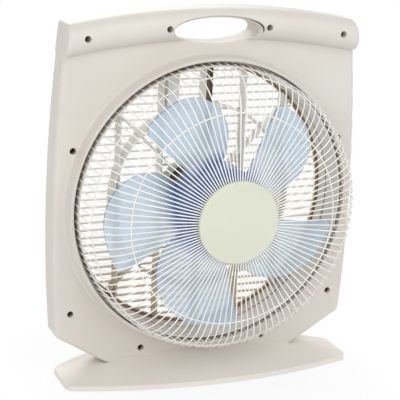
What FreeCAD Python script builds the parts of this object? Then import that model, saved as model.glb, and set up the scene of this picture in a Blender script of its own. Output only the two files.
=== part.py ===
import FreeCAD, Part
import math
import os
import Sketcher

from FreeCAD import Placement, Rotation, Vector

# A box-shaped floor fan: a two-part shell on a lens-shaped foot, with a wire guard in front,
# a moulded grille behind, and a five-bladed impeller on an induction motor.
# Z is up, Z = 0 is the floor, X = 0 the middle, and the front faces -Y.

doc = FreeCAD.newDocument("floor_fan")
sheet = doc.addObject("Spreadsheet::Sheet", "dims")

# Driving dimensions in millimetres, degrees or counts. "Depth" is measured along Y from the
# parting plane of the two shells, with the front negative.
DRIVING = [
    ("axis_height", "228", "fan axis above the floor"),
    ("crown_height", "480.5", "top of the arched handle bar"),
    ("shoulder_height", "461.6", "top corners of the shell"),
    ("side_low", "59", "lower end of the upright sides"),
    ("side_half", "203.5", "half width at the lower ends of the sides"),
    ("top_half", "196.8", "half width at the upper ends of the sides"),
    ("side_bulge", "8.6", "how far the sides bow outwards"),
    ("foot_half", "133.5", "half width of the shell's foot"),
    ("foot_waist_half", "66", "half width where the foot's slope changes"),
    ("foot_crown", "27", "foot height in the middle"),
    ("foot_waist", "25.25", "foot height where its slope changes"),
    ("foot_low", "16.6", "foot height at its ends"),
    ("half_depth", "19", "depth of each shell"),
    ("wall", "2.4", "moulded wall"),
    ("edge_round", "5.5", "rounding round the shell's faces"),
    ("low_corner_round", "12", "rounding of the lower side corners"),
    ("roll_proud", "0.8", "how far the rolled top's ends stand out from the sides"),
    ("roll_radius", "20", "radius of the rolled top"),
    ("roll_reach", "36", "depth of the rolled top in front of the parting plane"),
    ("roll_end_round", "5", "rounding of the rolled top's ends"),
    ("slot_height", "452", "middle of the handle slot"),
    ("slot_half_width", "58", "half width of the handle slot"),
    ("slot_half_height", "17", "half height of the handle slot"),
    ("slot_flare", "5", "how much wider the slot is at its front edge"),
    ("slot_flare_depth", "10", "depth of the flared edge"),
    ("duct_bore", "179.8", "inner radius of the air duct"),
    ("duct_wall", "2.2", "wall of the air duct"),
    ("duct_rear_bore", "178.8", "inner radius of the duct at the rear face"),
    ("duct_gap", "2", "distance of each duct half from the parting plane"),
    ("collar_bore", "187.1", "bore of the raised collar"),
    ("collar_lip", "191.1", "outer radius of the collar's lip"),
    ("collar_foot", "193.3", "outer radius of the collar's wall at its foot"),
    ("collar_toe", "197", "radius where the collar meets the front face"),
    ("collar_reach", "38", "depth of the collar's lip"),
    ("collar_toe_depth", "25", "depth where the collar's toe begins"),
    ("collar_toe_bend", "194.4", "radius of the bend in the collar's toe"),
    ("collar_bend_depth", "21.5", "depth of the bend in the collar's toe"),
    ("lip_chamfer", "0.8", "chamfer on the collar's lip"),
    ("groove_floor", "22", "depth of the groove that the guard sits in"),
    ("screw_high_outer_x", "172.8", "outer pair of screws in the rolled top"),
    ("screw_high_outer_z", "445.8", "height of that pair"),
    ("screw_high_inner_x", "67.4", "inner pair of screws in the rolled top"),
    ("screw_high_inner_z", "456.1", "height of that pair"),
    ("screw_middle_x", "184.3", "screws beside the opening"),
    ("screw_middle_z", "303.9", "height of that pair"),
    ("screw_low_outer_x", "183.8", "screws in the lower corners"),
    ("screw_low_outer_z", "89.1", "height of that pair"),
    ("screw_low_inner_x", "86.7", "screws above the foot"),
    ("screw_low_inner_z", "33.6", "height of that pair"),
    ("well_radius", "4.25", "radius of the screw wells"),
    ("well_wall", "1.9", "wall round a screw well"),
    ("well_seat", "8", "depth of the seat at the bottom of a well"),
    ("screw_radius", "1.9", "radius of the screws"),
    ("screw_head_radius", "3.6", "radius of the screw heads"),
    ("screw_head_height", "2.4", "height of the screw heads"),
    ("screw_reach", "12", "how far the shell screws enter the rear shell"),
    ("screw_clearance", "0.05", "radial room round screws and bolts"),
    ("fit_clearance", "0.03", "radial room of bushes, bores and spindles"),
    ("seat_clearance", "0.05", "room between pieces laid on each other"),
    ("guard_reach", "124", "depth of the front of the guard disc"),
    ("disc_radius", "53.2", "radius of the guard disc"),
    ("disc_thickness", "4.6", "thickness of the guard disc"),
    ("disc_round", "2.5", "rounding of the disc's front edge"),
    ("disc_boss_radius", "10", "radius of the boss behind the disc"),
    ("clamp_plate_radius", "50", "radius of the plate behind the wires"),
    ("clamp_plate_thickness", "1.5", "thickness of that plate"),
    ("wire_count", "108", "wires of the front guard"),
    ("wire_width", "1.7", "thickness of a guard wire"),
    ("wire_inner", "40", "radius where the wires begin, under the disc"),
    ("wire_flat", "54", "radius where the wires leave the disc's plane"),
    ("wire_cone", "5.74", "slope of the guard's face in degrees"),
    ("shoulder_centre", "133.1", "radius of the centre of the guard's shoulder"),
    ("shoulder_depth", "60.05", "depth of the centre of the guard's shoulder"),
    ("shoulder_radius", "50", "radius of the guard's shoulder"),
    ("shoulder_turn", "67.46", "angle through which the shoulder turns"),
    ("wire_outer", "183.4", "radius of the wires' ends in the groove"),
    ("wire_bend_depth", "40", "depth where the wires turn straight back"),
    ("wire_end_depth", "24", "depth of the wires' ends"),
    ("hoop_width", "1.8", "thickness of the hoops behind the wires"),
    ("inner_hoop_radius", "136.3", "radius of the inner hoop"),
    ("outer_hoop_shift", "3.9", "distance of the outer hoop past the middle of the last chord"),
    ("rim_outer", "186.6", "outer radius of the guard's rim"),
    ("rim_reach", "27", "depth of the front of the guard's rim"),
    ("blade_count", "5", "blades of the impeller"),
    ("blade_start", "45.4", "direction of the first blade in degrees"),
    ("blade_thickness", "2", "thickness of a blade"),
    ("blade_slope", "0.7", "depth per degree along a blade"),
    ("blade_depth", "60", "depth of the blades at their middle"),
    ("petal_centre", "94", "radius of the centre of a blade's round edge"),
    ("petal_radius", "62", "radius of a blade's round edge"),
    ("petal_end", "155", "angle of the round edge from tip to root"),
    ("trail_root_radius", "50", "radius where the straight edge begins in the hub"),
    ("trail_root_angle", "11.15", "direction of the straight edge's root in degrees"),
    ("trail_tip_angle", "18.4", "direction of the straight edge's tip in degrees"),
    ("trail_round", "12", "rounding of the blade's outer corner"),
    ("slab_lead", "22", "angle at which the twisted slab begins"),
    ("slab_turn", "76", "angle through which the twisted slab turns"),
    ("hub_radius", "58", "outer radius of the hub"),
    ("hub_front", "83", "depth of the front of the hub"),
    ("hub_rear", "28", "depth of the rear edge of the hub"),
    ("hub_round", "6", "rounding of the hub's front edge"),
    ("hub_wall", "2.5", "wall of the hub"),
    ("hub_boss_radius", "9", "radius of the hub's boss"),
    ("hub_boss_rear", "60", "depth of the rear of the hub's boss"),
    ("pin_radius", "1.4", "radius of the drive pin"),
    ("pin_half_length", "8", "half length of the drive pin"),
    ("pin_slot_depth", "3.2", "depth of the slot for the drive pin"),
    ("nut_radius", "13", "radius of the spinner nut"),
    ("nut_height", "12", "height of the spinner nut"),
    ("shaft_radius", "4", "radius of the motor shaft"),
    ("shaft_front", "91", "depth of the front end of the shaft"),
    ("shaft_rear", "15", "depth of the rear end of the shaft, behind the parting plane"),
    ("motor_radius", "48", "radius of the motor"),
    ("motor_wall", "2.5", "wall of the motor covers"),
    ("motor_rear", "20", "depth of the motor's rear face, behind the parting plane"),
    ("stator_rear", "4", "depth of the rear of the stator"),
    ("stator_front", "28", "depth of the front of the stator"),
    ("motor_front", "50", "depth of the front of the motor"),
    ("rotor_radius", "22", "radius of the rotor"),
    ("air_gap", "0.4", "gap between rotor and stator"),
    ("winding_inner", "25", "inner radius of the windings"),
    ("winding_outer", "39.5", "outer radius of the windings"),
    ("winding_height", "10", "height of the end turns"),
    ("bush_radius", "8", "outer radius of the shaft bushes"),
    ("bush_length", "10", "length of the shaft bushes"),
    ("bush_housing", "11", "outer radius of the bush housings"),
    ("shaft_room", "0.6", "room round the shaft in the end walls"),
    ("bolt_circle", "42.5", "radius on which the motor bolts lie"),
    ("bolt_count", "4", "motor bolts"),
    ("bolt_radius", "2", "radius of the motor bolts"),
    ("bolt_nut_radius", "4", "radius of the motor nuts over their corners"),
    ("bolt_nut_height", "3.2", "height of the motor nuts"),
    ("plate_radius", "56", "radius of the motor plate of the rear grille"),
    ("plate_thickness", "4", "thickness of the motor plate"),
    ("grille_front", "21", "depth of the front of the slats, behind the parting plane"),
    ("grille_thickness", "5", "depth of the slats along Y"),
    ("slat_pitch", "10.3", "pitch of the slats"),
    ("slat_height", "2.2", "height of a slat"),
    ("grille_bore", "174", "inner radius of the grille's flange"),
    ("grille_outer", "196", "outer radius of the grille's flange"),
    ("flange_thickness", "3", "thickness of the grille's flange"),
    ("flange_step", "2", "height of the flange's foot on the shell"),
    ("flange_foot", "185", "inner radius of the flange's foot"),
    ("rib_pitch", "57", "pitch of the upright ribs"),
    ("rib_width", "2.4", "thickness of the ribs"),
    ("rib_clear", "20", "least distance of an upright rib from the flange"),
    ("rib_front", "6", "depth of the front of the ribs, behind the parting plane"),
    ("ring_radius", "121.5", "inner radius of the stiffening ring"),
    ("ring_width", "2.5", "thickness of the stiffening ring"),
    ("ring_front", "2", "depth of the front of the stiffening ring"),
    ("spoke_front", "10", "depth of the front of the slanting spokes"),
    ("grille_screw_circle", "190.5", "radius on which the grille's screws lie"),
    ("grille_screw_count", "6", "screws of the rear grille"),
    ("grille_screw_length", "10", "length of the grille's screws below their heads"),
    ("grille_boss_radius", "4.5", "radius of the bosses for the grille's screws"),
    ("channel_x", "52", "left side of the cable channel, left of the middle"),
    ("channel_width", "15", "width of the cable channel"),
    ("channel_low", "119.5", "lower end of the cable channel above the axis"),
    ("channel_high", "169.5", "upper end of the cable channel above the axis"),
    ("channel_front", "4", "depth of the front of the cable channel"),
    ("channel_wall", "1.5", "wall of the cable channel"),
    ("base_half_width", "198.5", "half width of the base"),
    ("base_front", "90", "depth of the base's front edge in the middle"),
    ("base_front_end", "58.5", "depth of the base's front edge at its ends"),
    ("base_rear", "80", "depth of the base's rear edge in the middle"),
    ("base_rear_end", "4", "depth of the base's rear edge at its ends"),
    ("base_corner_round", "13", "rounding of the base's corners"),
    ("base_lip", "8", "height of the base's edge"),
    ("base_ridge", "8.4", "height of the ridge at the base's ends"),
    ("base_ridge_half", "0.6", "half width of the ridge at the base's ends"),
    ("base_lift", "1.5", "height of the base's lower edge above the floor"),
    ("base_wall", "3", "wall of the base"),
    ("base_screw_x", "50", "base screws from the middle"),
    ("base_screw_y", "9.5", "base screws from the parting plane"),
    ("base_screw_length", "15", "length of the base screws"),
    ("base_boss_radius", "4.5", "radius of the bosses for the base screws"),
    ("pad_front_x", "165", "front rubber pads from the middle"),
    ("pad_front_y", "45", "front rubber pads from the parting plane"),
    ("pad_rear_x", "105", "rear rubber pads from the middle"),
    ("pad_rear_y", "36", "rear rubber pads from the parting plane"),
    ("pad_radius", "9", "radius of the rubber pads"),
    ("pad_height", "4", "height of the rubber pads"),
    ("pad_boss_radius", "10", "radius of the bosses above the pads"),
    ("switch_x", "160", "speed switch from the middle"),
    ("switch_z", "378", "height of the speed switch"),
    ("switch_size", "28", "width and height of the switch body"),
    ("switch_depth", "14", "depth of the switch body"),
    ("spindle_radius", "3", "radius of the switch spindle"),
    ("spindle_rear", "30", "depth of the spindle's end, behind the parting plane"),
    ("switch_neck_radius", "5", "radius of the switch's neck"),
    ("switch_nut_height", "2.4", "height of the switch nut"),
    ("switch_nut_radius", "8.5", "radius of the switch nut over its corners"),
    ("knob_gap", "0.4", "room between knob and switch nut"),
    ("knob_radius", "17", "radius of the knob's skirt"),
    ("knob_grip_radius", "14", "radius of the knob's grip"),
    ("knob_skirt", "4", "height of the knob's skirt"),
    ("knob_height", "15", "height of the knob"),
    ("knob_mark_width", "2", "width of the knob's pointer groove"),
    ("knob_mark_depth", "1", "depth of the knob's pointer groove"),
    ("capacitor_x", "160", "capacitor from the middle"),
    ("capacitor_z", "378", "height of the capacitor"),
    ("capacitor_width", "24", "width of the capacitor"),
    ("capacitor_height", "34", "height of the capacitor"),
    ("capacitor_depth", "14", "depth of the capacitor"),
    ("terminal_x", "150", "terminal block from the middle"),
    ("terminal_z", "80", "height of the terminal block"),
    ("terminal_width", "30", "width of the terminal block"),
    ("terminal_height", "15", "height of the terminal block"),
    ("terminal_depth", "12", "depth of the terminal block"),
    ("gland_x", "158", "cord gland from the middle"),
    ("gland_z", "78", "height of the cord gland"),
    ("gland_radius", "7", "radius of the cord gland's neck"),
    ("gland_flange", "10", "radius of the cord gland's flange"),
    ("gland_bore", "3.6", "bore of the cord gland"),
    ("gland_reach", "5", "height of the gland's flange"),
    ("gland_depth", "8", "length of the gland's neck inside the shell"),
]


class Size:
    """A number together with the sheet expression that gives it."""

    def __init__(self, value, text):
        self.value = float(value)
        self.text = text

    def __add__(self, other):
        other = as_size(other)
        return Size(self.value + other.value, f"({self.text} + {other.text})")

    def __sub__(self, other):
        other = as_size(other)
        return Size(self.value - other.value, f"({self.text} - {other.text})")

    def __mul__(self, other):
        other = as_size(other)
        return Size(self.value * other.value, f"({self.text} * {other.text})")

    def __truediv__(self, other):
        other = as_size(other)
        return Size(self.value / other.value, f"({self.text} / {other.text})")

    def __neg__(self):
        return Size(-self.value, f"(0 - {self.text})")

    __radd__ = __add__
    __rmul__ = __mul__


def as_size(number):
    if isinstance(number, Size):
        return number
    return Size(number, repr(number))


def root(size):
    return Size(math.sqrt(size.value), f"sqrt({size.text})")


def sine(angle):
    return Size(math.sin(math.radians(angle.value)), f"sin({angle.text} * 1 deg)")


def cosine(angle):
    return Size(math.cos(math.radians(angle.value)), f"cos({angle.text} * 1 deg)")


class Sizes:
    """The driving dimensions, each under its own name."""


S = Sizes()
for row, (alias, value, meaning) in enumerate(DRIVING, start=1):
    sheet.set(f"A{row}", meaning)
    sheet.set(f"B{row}", value)
    sheet.setAlias(f"B{row}", alias)
doc.recompute()
for alias, _, _ in DRIVING:
    setattr(S, alias, Size(sheet.get(alias), f"dims.{alias}"))

# The parting plane lies where the whole fan is centred over the origin, between the front of
# the guard disc and the rear of the base.
PARTING = (S.guard_reach - S.base_rear) / 2
AXIS = S.axis_height
EVERYWHERE = S.crown_height
ZERO = as_size(0)

BACKWARDS = Rotation(Vector(1, 0, 0), -90)
SIDEWAYS = Rotation(Vector(0, 1, 0), 90)
UPRIGHT = Rotation()

nodes = []


def bind(item, **properties):
    for name, size in properties.items():
        item.setExpression(name, as_size(size).text)


def place(item, x=0, depth=0, height=0, turn=UPRIGHT):
    """Put an object at x, at a depth from the parting plane and at a height above the floor."""
    where = {"x": as_size(x), "y": PARTING + depth, "z": as_size(height)}
    item.Placement = Placement(Vector(*(size.value for size in where.values())), turn)
    for axis, size in where.items():
        item.setExpression(f"Placement.Base.{axis}", size.text)
    return item


def node(label, item):
    """Mark an object as a sub-part of the fan under its own name."""
    item.Label = label
    nodes.append(item)
    return item


def origin_plane(body, role):
    return next(item for item in body.Origin.OriginFeatures if item.Role == role)


def sketch_on(body, role, name):
    sketch = body.newObject("Sketcher::SketchObject", name)
    sketch.AttachmentSupport = [(origin_plane(body, role), "")]
    sketch.MapMode = "FlatFace"
    return sketch


def pin_point(sketch, geometry, end, across, up):
    """Hold a point of the sketch at its two coordinates."""
    for kind, size, line in (("DistanceX", across, -2), ("DistanceY", up, -1)):
        if size.value == 0:
            sketch.addConstraint(Sketcher.Constraint("PointOnObject", geometry, end, line))
        else:
            index = sketch.addConstraint(Sketcher.Constraint(kind, -1, 1, geometry, end, size.value))
            sketch.setExpression(f"Constraints[{index}]", size.text)


def arc_between(start, finish, radius, bend, long_way):
    """An arc from start to finish, to the left (bend 1) or to the right (bend -1)."""
    middle = (start + finish) * 0.5
    chord = finish - start
    height = math.sqrt(max(radius ** 2 - (chord.Length / 2) ** 2, 0))
    side = bend if not long_way else -bend
    centre = middle + Vector(-chord.y, chord.x, 0).normalize() * height * side
    first, last = (start, finish) if bend > 0 else (finish, start)
    begin = math.atan2(first.y - centre.y, first.x - centre.x)
    end = math.atan2(last.y - centre.y, last.x - centre.x)
    if end < begin:
        end += 2 * math.pi
    return Part.ArcOfCircle(Part.Circle(centre, Vector(0, 0, 1), radius), begin, end)


def draw(sketch, corners, arcs=None):
    """A closed outline. arcs maps a side's number to its radius, bend and, if long, True."""
    arcs = arcs or {}
    corners = [(as_size(across), as_size(up)) for across, up in corners]
    points = [Vector(across.value, up.value, 0) for across, up in corners]
    count = len(corners)
    sides = []
    for number, start in enumerate(points):
        finish = points[(number + 1) % count]
        if number in arcs:
            radius, bend, *long_way = arcs[number]
            curve = arc_between(start, finish, as_size(radius).value, bend, bool(long_way))
            ends = (1, 2) if bend > 0 else (2, 1)
        else:
            curve = Part.LineSegment(start, finish)
            ends = (1, 2)
        sides.append((sketch.addGeometry(curve, False), *ends))
    for number, (side, first, last) in enumerate(sides):
        following, next_first, _ = sides[(number + 1) % count]
        sketch.addConstraint(Sketcher.Constraint("Coincident", side, last, following, next_first))
        pin_point(sketch, side, first, *corners[number])
        if number in arcs:
            radius = as_size(arcs[number][0])
            index = sketch.addConstraint(Sketcher.Constraint("Radius", side, radius.value))
            sketch.setExpression(f"Constraints[{index}]", radius.text)
    return sketch


def draw_ellipse(sketch, half_width, half_height):
    """An ellipse round the sketch's origin, with its long axis across."""
    across = Vector(half_width.value, 0, 0)
    up = Vector(0, half_height.value, 0)
    ellipse = sketch.addGeometry(Part.Ellipse(across, up, Vector(0, 0, 0)), False)
    sketch.exposeInternalGeometry(ellipse)
    long_axis = ellipse + 1
    short_axis = ellipse + 2
    sketch.addConstraint(Sketcher.Constraint("Coincident", ellipse, 3, -1, 1))
    sketch.addConstraint(Sketcher.Constraint("PointOnObject", long_axis, 1, -1))
    for line, size in ((long_axis, half_width), (short_axis, half_height)):
        index = sketch.addConstraint(Sketcher.Constraint("Distance", line, 2 * size.value))
        sketch.setExpression(f"Constraints[{index}]", (size * 2).text)
    return sketch


def new_body(name):
    return doc.addObject("PartDesign::Body", name)


def turned(name, corners, arcs=None, x=0, height=AXIS):
    """A solid of revolution about an axis along Y. Corners are radius and depth."""
    body = new_body(name)
    sketch = draw(sketch_on(body, "XY_Plane", f"{name}_profile"), corners, arcs)
    feature = body.newObject("PartDesign::Revolution", f"{name}_turn")
    feature.Profile = sketch
    feature.ReferenceAxis = (sketch, ["V_Axis"])
    feature.Angle = 360
    return place(body, x, 0, height)


def padded(name, corners, arcs, front, depth, height=ZERO):
    """An upright outline given depth towards the rear. Corners are X and height."""
    body = new_body(name)
    sketch = draw(sketch_on(body, "XZ_Plane", f"{name}_outline"), corners, arcs)
    feature = body.newObject("PartDesign::Pad", f"{name}_pad")
    feature.Profile = sketch
    feature.Reversed = True
    bind(feature, Length=depth)
    return place(body, 0, front, height)


def rounded(body, radius, wanted):
    """Round the edges of a body's last feature that pass a test."""
    doc.recompute()
    base = body.Tip
    edges = [f"Edge{n}" for n, edge in enumerate(base.Shape.Edges, start=1) if wanted(edge)]
    fillet = body.newObject("PartDesign::Fillet", f"{body.Name}_round")
    fillet.Base = (base, edges)
    bind(fillet, Radius=radius)
    return body


def cylinder(name, radius, start, length, x=0, height=AXIS):
    """A round bar along Y that begins at a depth."""
    item = doc.addObject("Part::Cylinder", name)
    bind(item, Radius=radius, Height=length)
    return place(item, x, start, height, BACKWARDS)


def post(name, radius, x, depth, low, high):
    """A round bar along Z."""
    item = doc.addObject("Part::Cylinder", name)
    bind(item, Radius=radius, Height=high - low)
    return place(item, x, depth, low)


def block(name, x, depth, height, width, length, tall):
    """A box from its lowest left front corner."""
    item = doc.addObject("Part::Box", name)
    bind(item, Length=width, Width=length, Height=tall)
    return place(item, x, depth, height)


def fused(name, *items):
    item = doc.addObject("Part::MultiFuse", name)
    item.Shapes = list(items)
    item.Refine = True
    return item


def cut(name, base, *tools):
    item = doc.addObject("Part::Cut", name)
    item.Base = base
    item.Tool = tools[0] if len(tools) == 1 else fused(f"{name}_tools", *tools)
    item.Refine = True
    return item


def common(name, base, tool):
    item = doc.addObject("Part::Common", name)
    item.Base = base
    item.Tool = tool
    return item


def group(name, *items):
    item = doc.addObject("Part::Compound", name)
    item.Links = list(items)
    return item


def copy_of(item, name, placement):
    link = doc.addObject("App::Link", name)
    link.LinkedObject = item
    link.LinkTransform = True
    link.Placement = placement
    return link


def round_axis(item, name, count, start=0.0):
    """Copies of an object, evenly spaced round the fan axis."""
    centre = Vector(0, PARTING.value, AXIS.value)
    copies = []
    for number in range(count):
        angle = -(start + number * 360.0 / count)
        turn = Placement(Vector(), Rotation(Vector(0, 1, 0), angle), centre)
        copies.append(copy_of(item, f"{name}_{number}", turn))
    return copies


def on_circle(radius, count, number, start=0.0):
    """X and height of one of several points spaced round the fan axis."""
    angle = math.radians(start + number * 360.0 / count)
    return radius * round(math.cos(angle), 9), AXIS + radius * round(math.sin(angle), 9)


# The shell's outline: a shallow arched foot, slanting lower corners and bowed sides. Its top
# edge is hidden inside the rolled top, which follows the same arch.

NEAR = 0.01
RISE = S.crown_height - S.shoulder_height
ARCH_RADIUS = (S.top_half * S.top_half + RISE * RISE) / (RISE * 2)
ARCH_CENTRE = S.crown_height - ARCH_RADIUS
SIDE_TOP = S.shoulder_height - S.roll_radius
SIDE_TALL = SIDE_TOP - S.side_low
SIDE_DRAW = S.side_half - S.top_half
SIDE_CHORD_SQUARE = SIDE_TALL * SIDE_TALL + SIDE_DRAW * SIDE_DRAW
SIDE_RADIUS = SIDE_CHORD_SQUARE / (S.side_bulge * 8) + S.side_bulge / 2
SIDE_LEAN = (SIDE_DRAW + S.side_bulge * 4) / SIDE_TALL
ROLL_HALF = S.top_half + S.roll_proud


def shell_outline(inset):
    half_inset = inset / 2
    right = [
        (S.foot_waist_half, S.foot_waist + inset),
        (S.foot_half - half_inset, S.foot_low + inset),
        (S.side_half - inset, S.side_low + half_inset),
        (S.top_half - inset, SIDE_TOP),
    ]
    left = [(-across, up) for across, up in reversed(right)]
    corners = [(ZERO, S.foot_crown + inset)] + right + left
    arcs = {3: (SIDE_RADIUS, 1), 4: (ARCH_RADIUS - inset, 1), 5: (SIDE_RADIUS, 1)}
    return corners, arcs


def at_corner(half, height):
    """Edges along Y at a pair of corners."""
    def wanted(edge):
        ends = [vertex.Point for vertex in edge.Vertexes]
        return all(abs(abs(end.x) - half.value) < NEAR and abs(end.z - height.value) < NEAR
                   for end in ends)
    return wanted


def round_face(depth):
    """Edges round a face of the shell, apart from its foot."""
    def wanted(edge):
        ends = [vertex.Point for vertex in edge.Vertexes]
        on_face = all(abs(end.y - depth.value) < NEAR for end in ends)
        beyond_foot = any(abs(end.x) > S.foot_half.value + NEAR for end in ends)
        return on_face and beyond_foot
    return wanted


def shell_blank(name, front, face):
    corners, arcs = shell_outline(ZERO)
    body = padded(name, corners, arcs, front, S.half_depth)
    rounded(body, S.low_corner_round, at_corner(S.side_half, S.side_low))
    return rounded(body, S.edge_round, round_face(face))


def shell_hollow(name, front):
    corners, arcs = shell_outline(S.wall)
    body = padded(name, corners, arcs, front, S.half_depth + S.wall)
    return rounded(body, S.low_corner_round - S.wall,
                   at_corner(S.side_half - S.wall, S.side_low + S.wall / 2))


def arcsine(ratio):
    return Size(math.degrees(math.asin(ratio.value)), f"(asin({ratio.text}) / 1 deg)")


def roll_end(half, height):
    """Half length of the rolled top at a height above the arch's centre."""
    return half - SIDE_LEAN * (height + ARCH_CENTRE - SIDE_TOP)


def rolled(name, corners, arcs, half):
    """A bar along the arch, from its section and half length, with ends in line with the sides."""
    body = new_body(name)
    section = draw(sketch_on(body, "YZ_Plane", f"{name}_section"), corners, arcs)
    sweep = body.newObject("PartDesign::Revolution", f"{name}_sweep")
    sweep.Profile = section
    sweep.ReferenceAxis = (section, ["H_Axis"])
    sweep.Midplane = True
    bind(sweep, Angle=arcsine(half / (ARCH_RADIUS - S.roll_radius * 2)) * 3)
    trim = sketch_on(body, "XZ_Plane", f"{name}_trim")
    low = ARCH_RADIUS / 2
    high = ARCH_RADIUS + S.roll_radius
    far = half * 2
    for side in (1, -1):
        draw(trim, [(roll_end(half, low) * side, low), (far * side, low),
                    (far * side, high), (roll_end(half, high) * side, high)])
    ends = body.newObject("PartDesign::Pocket", f"{name}_ends")
    ends.Profile = trim
    ends.Type = "ThroughAll"
    ends.Midplane = True
    return place(body, 0, 0, ARCH_CENTRE)


def front_roll(name, inset, half):
    """The front part of the rolled top: straight on top, half round in front."""
    high = ARCH_RADIUS - inset
    low = ARCH_RADIUS - S.roll_radius * 2 + inset
    radius = S.roll_radius - inset
    bend = S.roll_radius - S.roll_reach
    nose = (inset - S.roll_reach, ARCH_RADIUS - S.roll_radius)
    corners = [(inset, low), (inset, high), (bend, high), nose, (bend, low)]
    return rolled(name, corners, {2: (radius, 1), 3: (radius, 1)}, half)


def rear_roll(name, inset, half):
    """The rear part of the rolled top: upright, in line with the rear face."""
    high = ARCH_RADIUS - inset
    low = ARCH_RADIUS - S.roll_radius * 2 + inset
    rear = S.half_depth - inset
    corners = [(-inset, low), (rear, low), (rear, high), (-inset, high)]
    return rolled(name, corners, {}, half)


def round_end(edge):
    """Edges of the rolled top's end faces, apart from the parting plane."""
    ends = [vertex.Point for vertex in edge.Vertexes]
    on_end = all(abs(abs(end.x) - roll_end(ROLL_HALF, end.z).value) < NEAR for end in ends)
    one_side = ends[0].x * ends[-1].x > 0
    parting = all(abs(end.y) < NEAR for end in ends)
    return on_end and one_side and not parting


def round_end_or_top(edge):
    """The same edges and the long upper edge at the rear."""
    ends = [vertex.Point for vertex in edge.Vertexes]
    rear = all(abs(end.y - S.half_depth.value) < NEAR for end in ends)
    on_arch = all(abs(math.hypot(end.x, end.z) - ARCH_RADIUS.value) < NEAR for end in ends)
    return round_end(edge) or (rear and on_arch)


def slot_bar(name, front, depth, margin):
    """An oval bar the shape of the handle slot."""
    body = new_body(name)
    sketch = sketch_on(body, "XZ_Plane", f"{name}_oval")
    draw_ellipse(sketch, S.slot_half_width + margin, S.slot_half_height + margin)
    pad = body.newObject("PartDesign::Pad", f"{name}_pad")
    pad.Profile = sketch
    pad.Reversed = True
    bind(pad, Length=depth)
    return place(body, 0, front, S.slot_height)


def slot_flare(name, mouth, throat):
    """The widening of the handle slot from its throat to its mouth."""
    body = new_body(name)
    ovals = []
    for suffix, depth, margin in (("mouth", mouth, S.slot_flare), ("throat", throat, ZERO)):
        sketch = sketch_on(body, "XZ_Plane", f"{name}_{suffix}")
        sketch.setExpression("AttachmentOffset.Base.z", (-depth).text)
        draw_ellipse(sketch, S.slot_half_width + margin, S.slot_half_height + margin)
        ovals.append(sketch)
    loft = body.newObject("PartDesign::AdditiveLoft", f"{name}_loft")
    loft.Profile = ovals[0]
    loft.Sections = ovals[1:]
    loft.Ruled = True
    return place(body, 0, 0, S.slot_height)


SCREW_PAIRS = [
    ("high_outer", S.screw_high_outer_x, S.screw_high_outer_z),
    ("high_inner", S.screw_high_inner_x, S.screw_high_inner_z),
    ("middle", S.screw_middle_x, S.screw_middle_z),
    ("low_outer", S.screw_low_outer_x, S.screw_low_outer_z),
    ("low_inner", S.screw_low_inner_x, S.screw_low_inner_z),
]
SCREW_PLACES = []
for pair, across, up in SCREW_PAIRS:
    SCREW_PLACES.append((f"{pair}_right", across, up))
    SCREW_PLACES.append((f"{pair}_left", -across, up))
BASE_SCREW_PLACES = {
    "front": [("right", S.base_screw_x, -S.base_screw_y), ("left", -S.base_screw_x, -S.base_screw_y)],
    "rear": [("right", S.base_screw_x, S.base_screw_y), ("left", -S.base_screw_x, S.base_screw_y)],
}
BASE_BOSS_LOW = S.foot_waist + S.wall / 2
BASE_BOSS_HIGH = BASE_BOSS_LOW + S.base_screw_length
SCREW_HOLE = S.screw_radius + S.screw_clearance


def base_bosses(side):
    return [post(f"{side}_foot_boss_{name}", S.base_boss_radius, x, depth, BASE_BOSS_LOW, BASE_BOSS_HIGH)
            for name, x, depth in BASE_SCREW_PLACES[side]]


def base_screw_holes(side, prefix=""):
    return [post(f"{prefix}{side}_foot_hole_{name}", SCREW_HOLE, x, depth, ZERO, BASE_BOSS_HIGH)
            for name, x, depth in BASE_SCREW_PLACES[side]]


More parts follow.
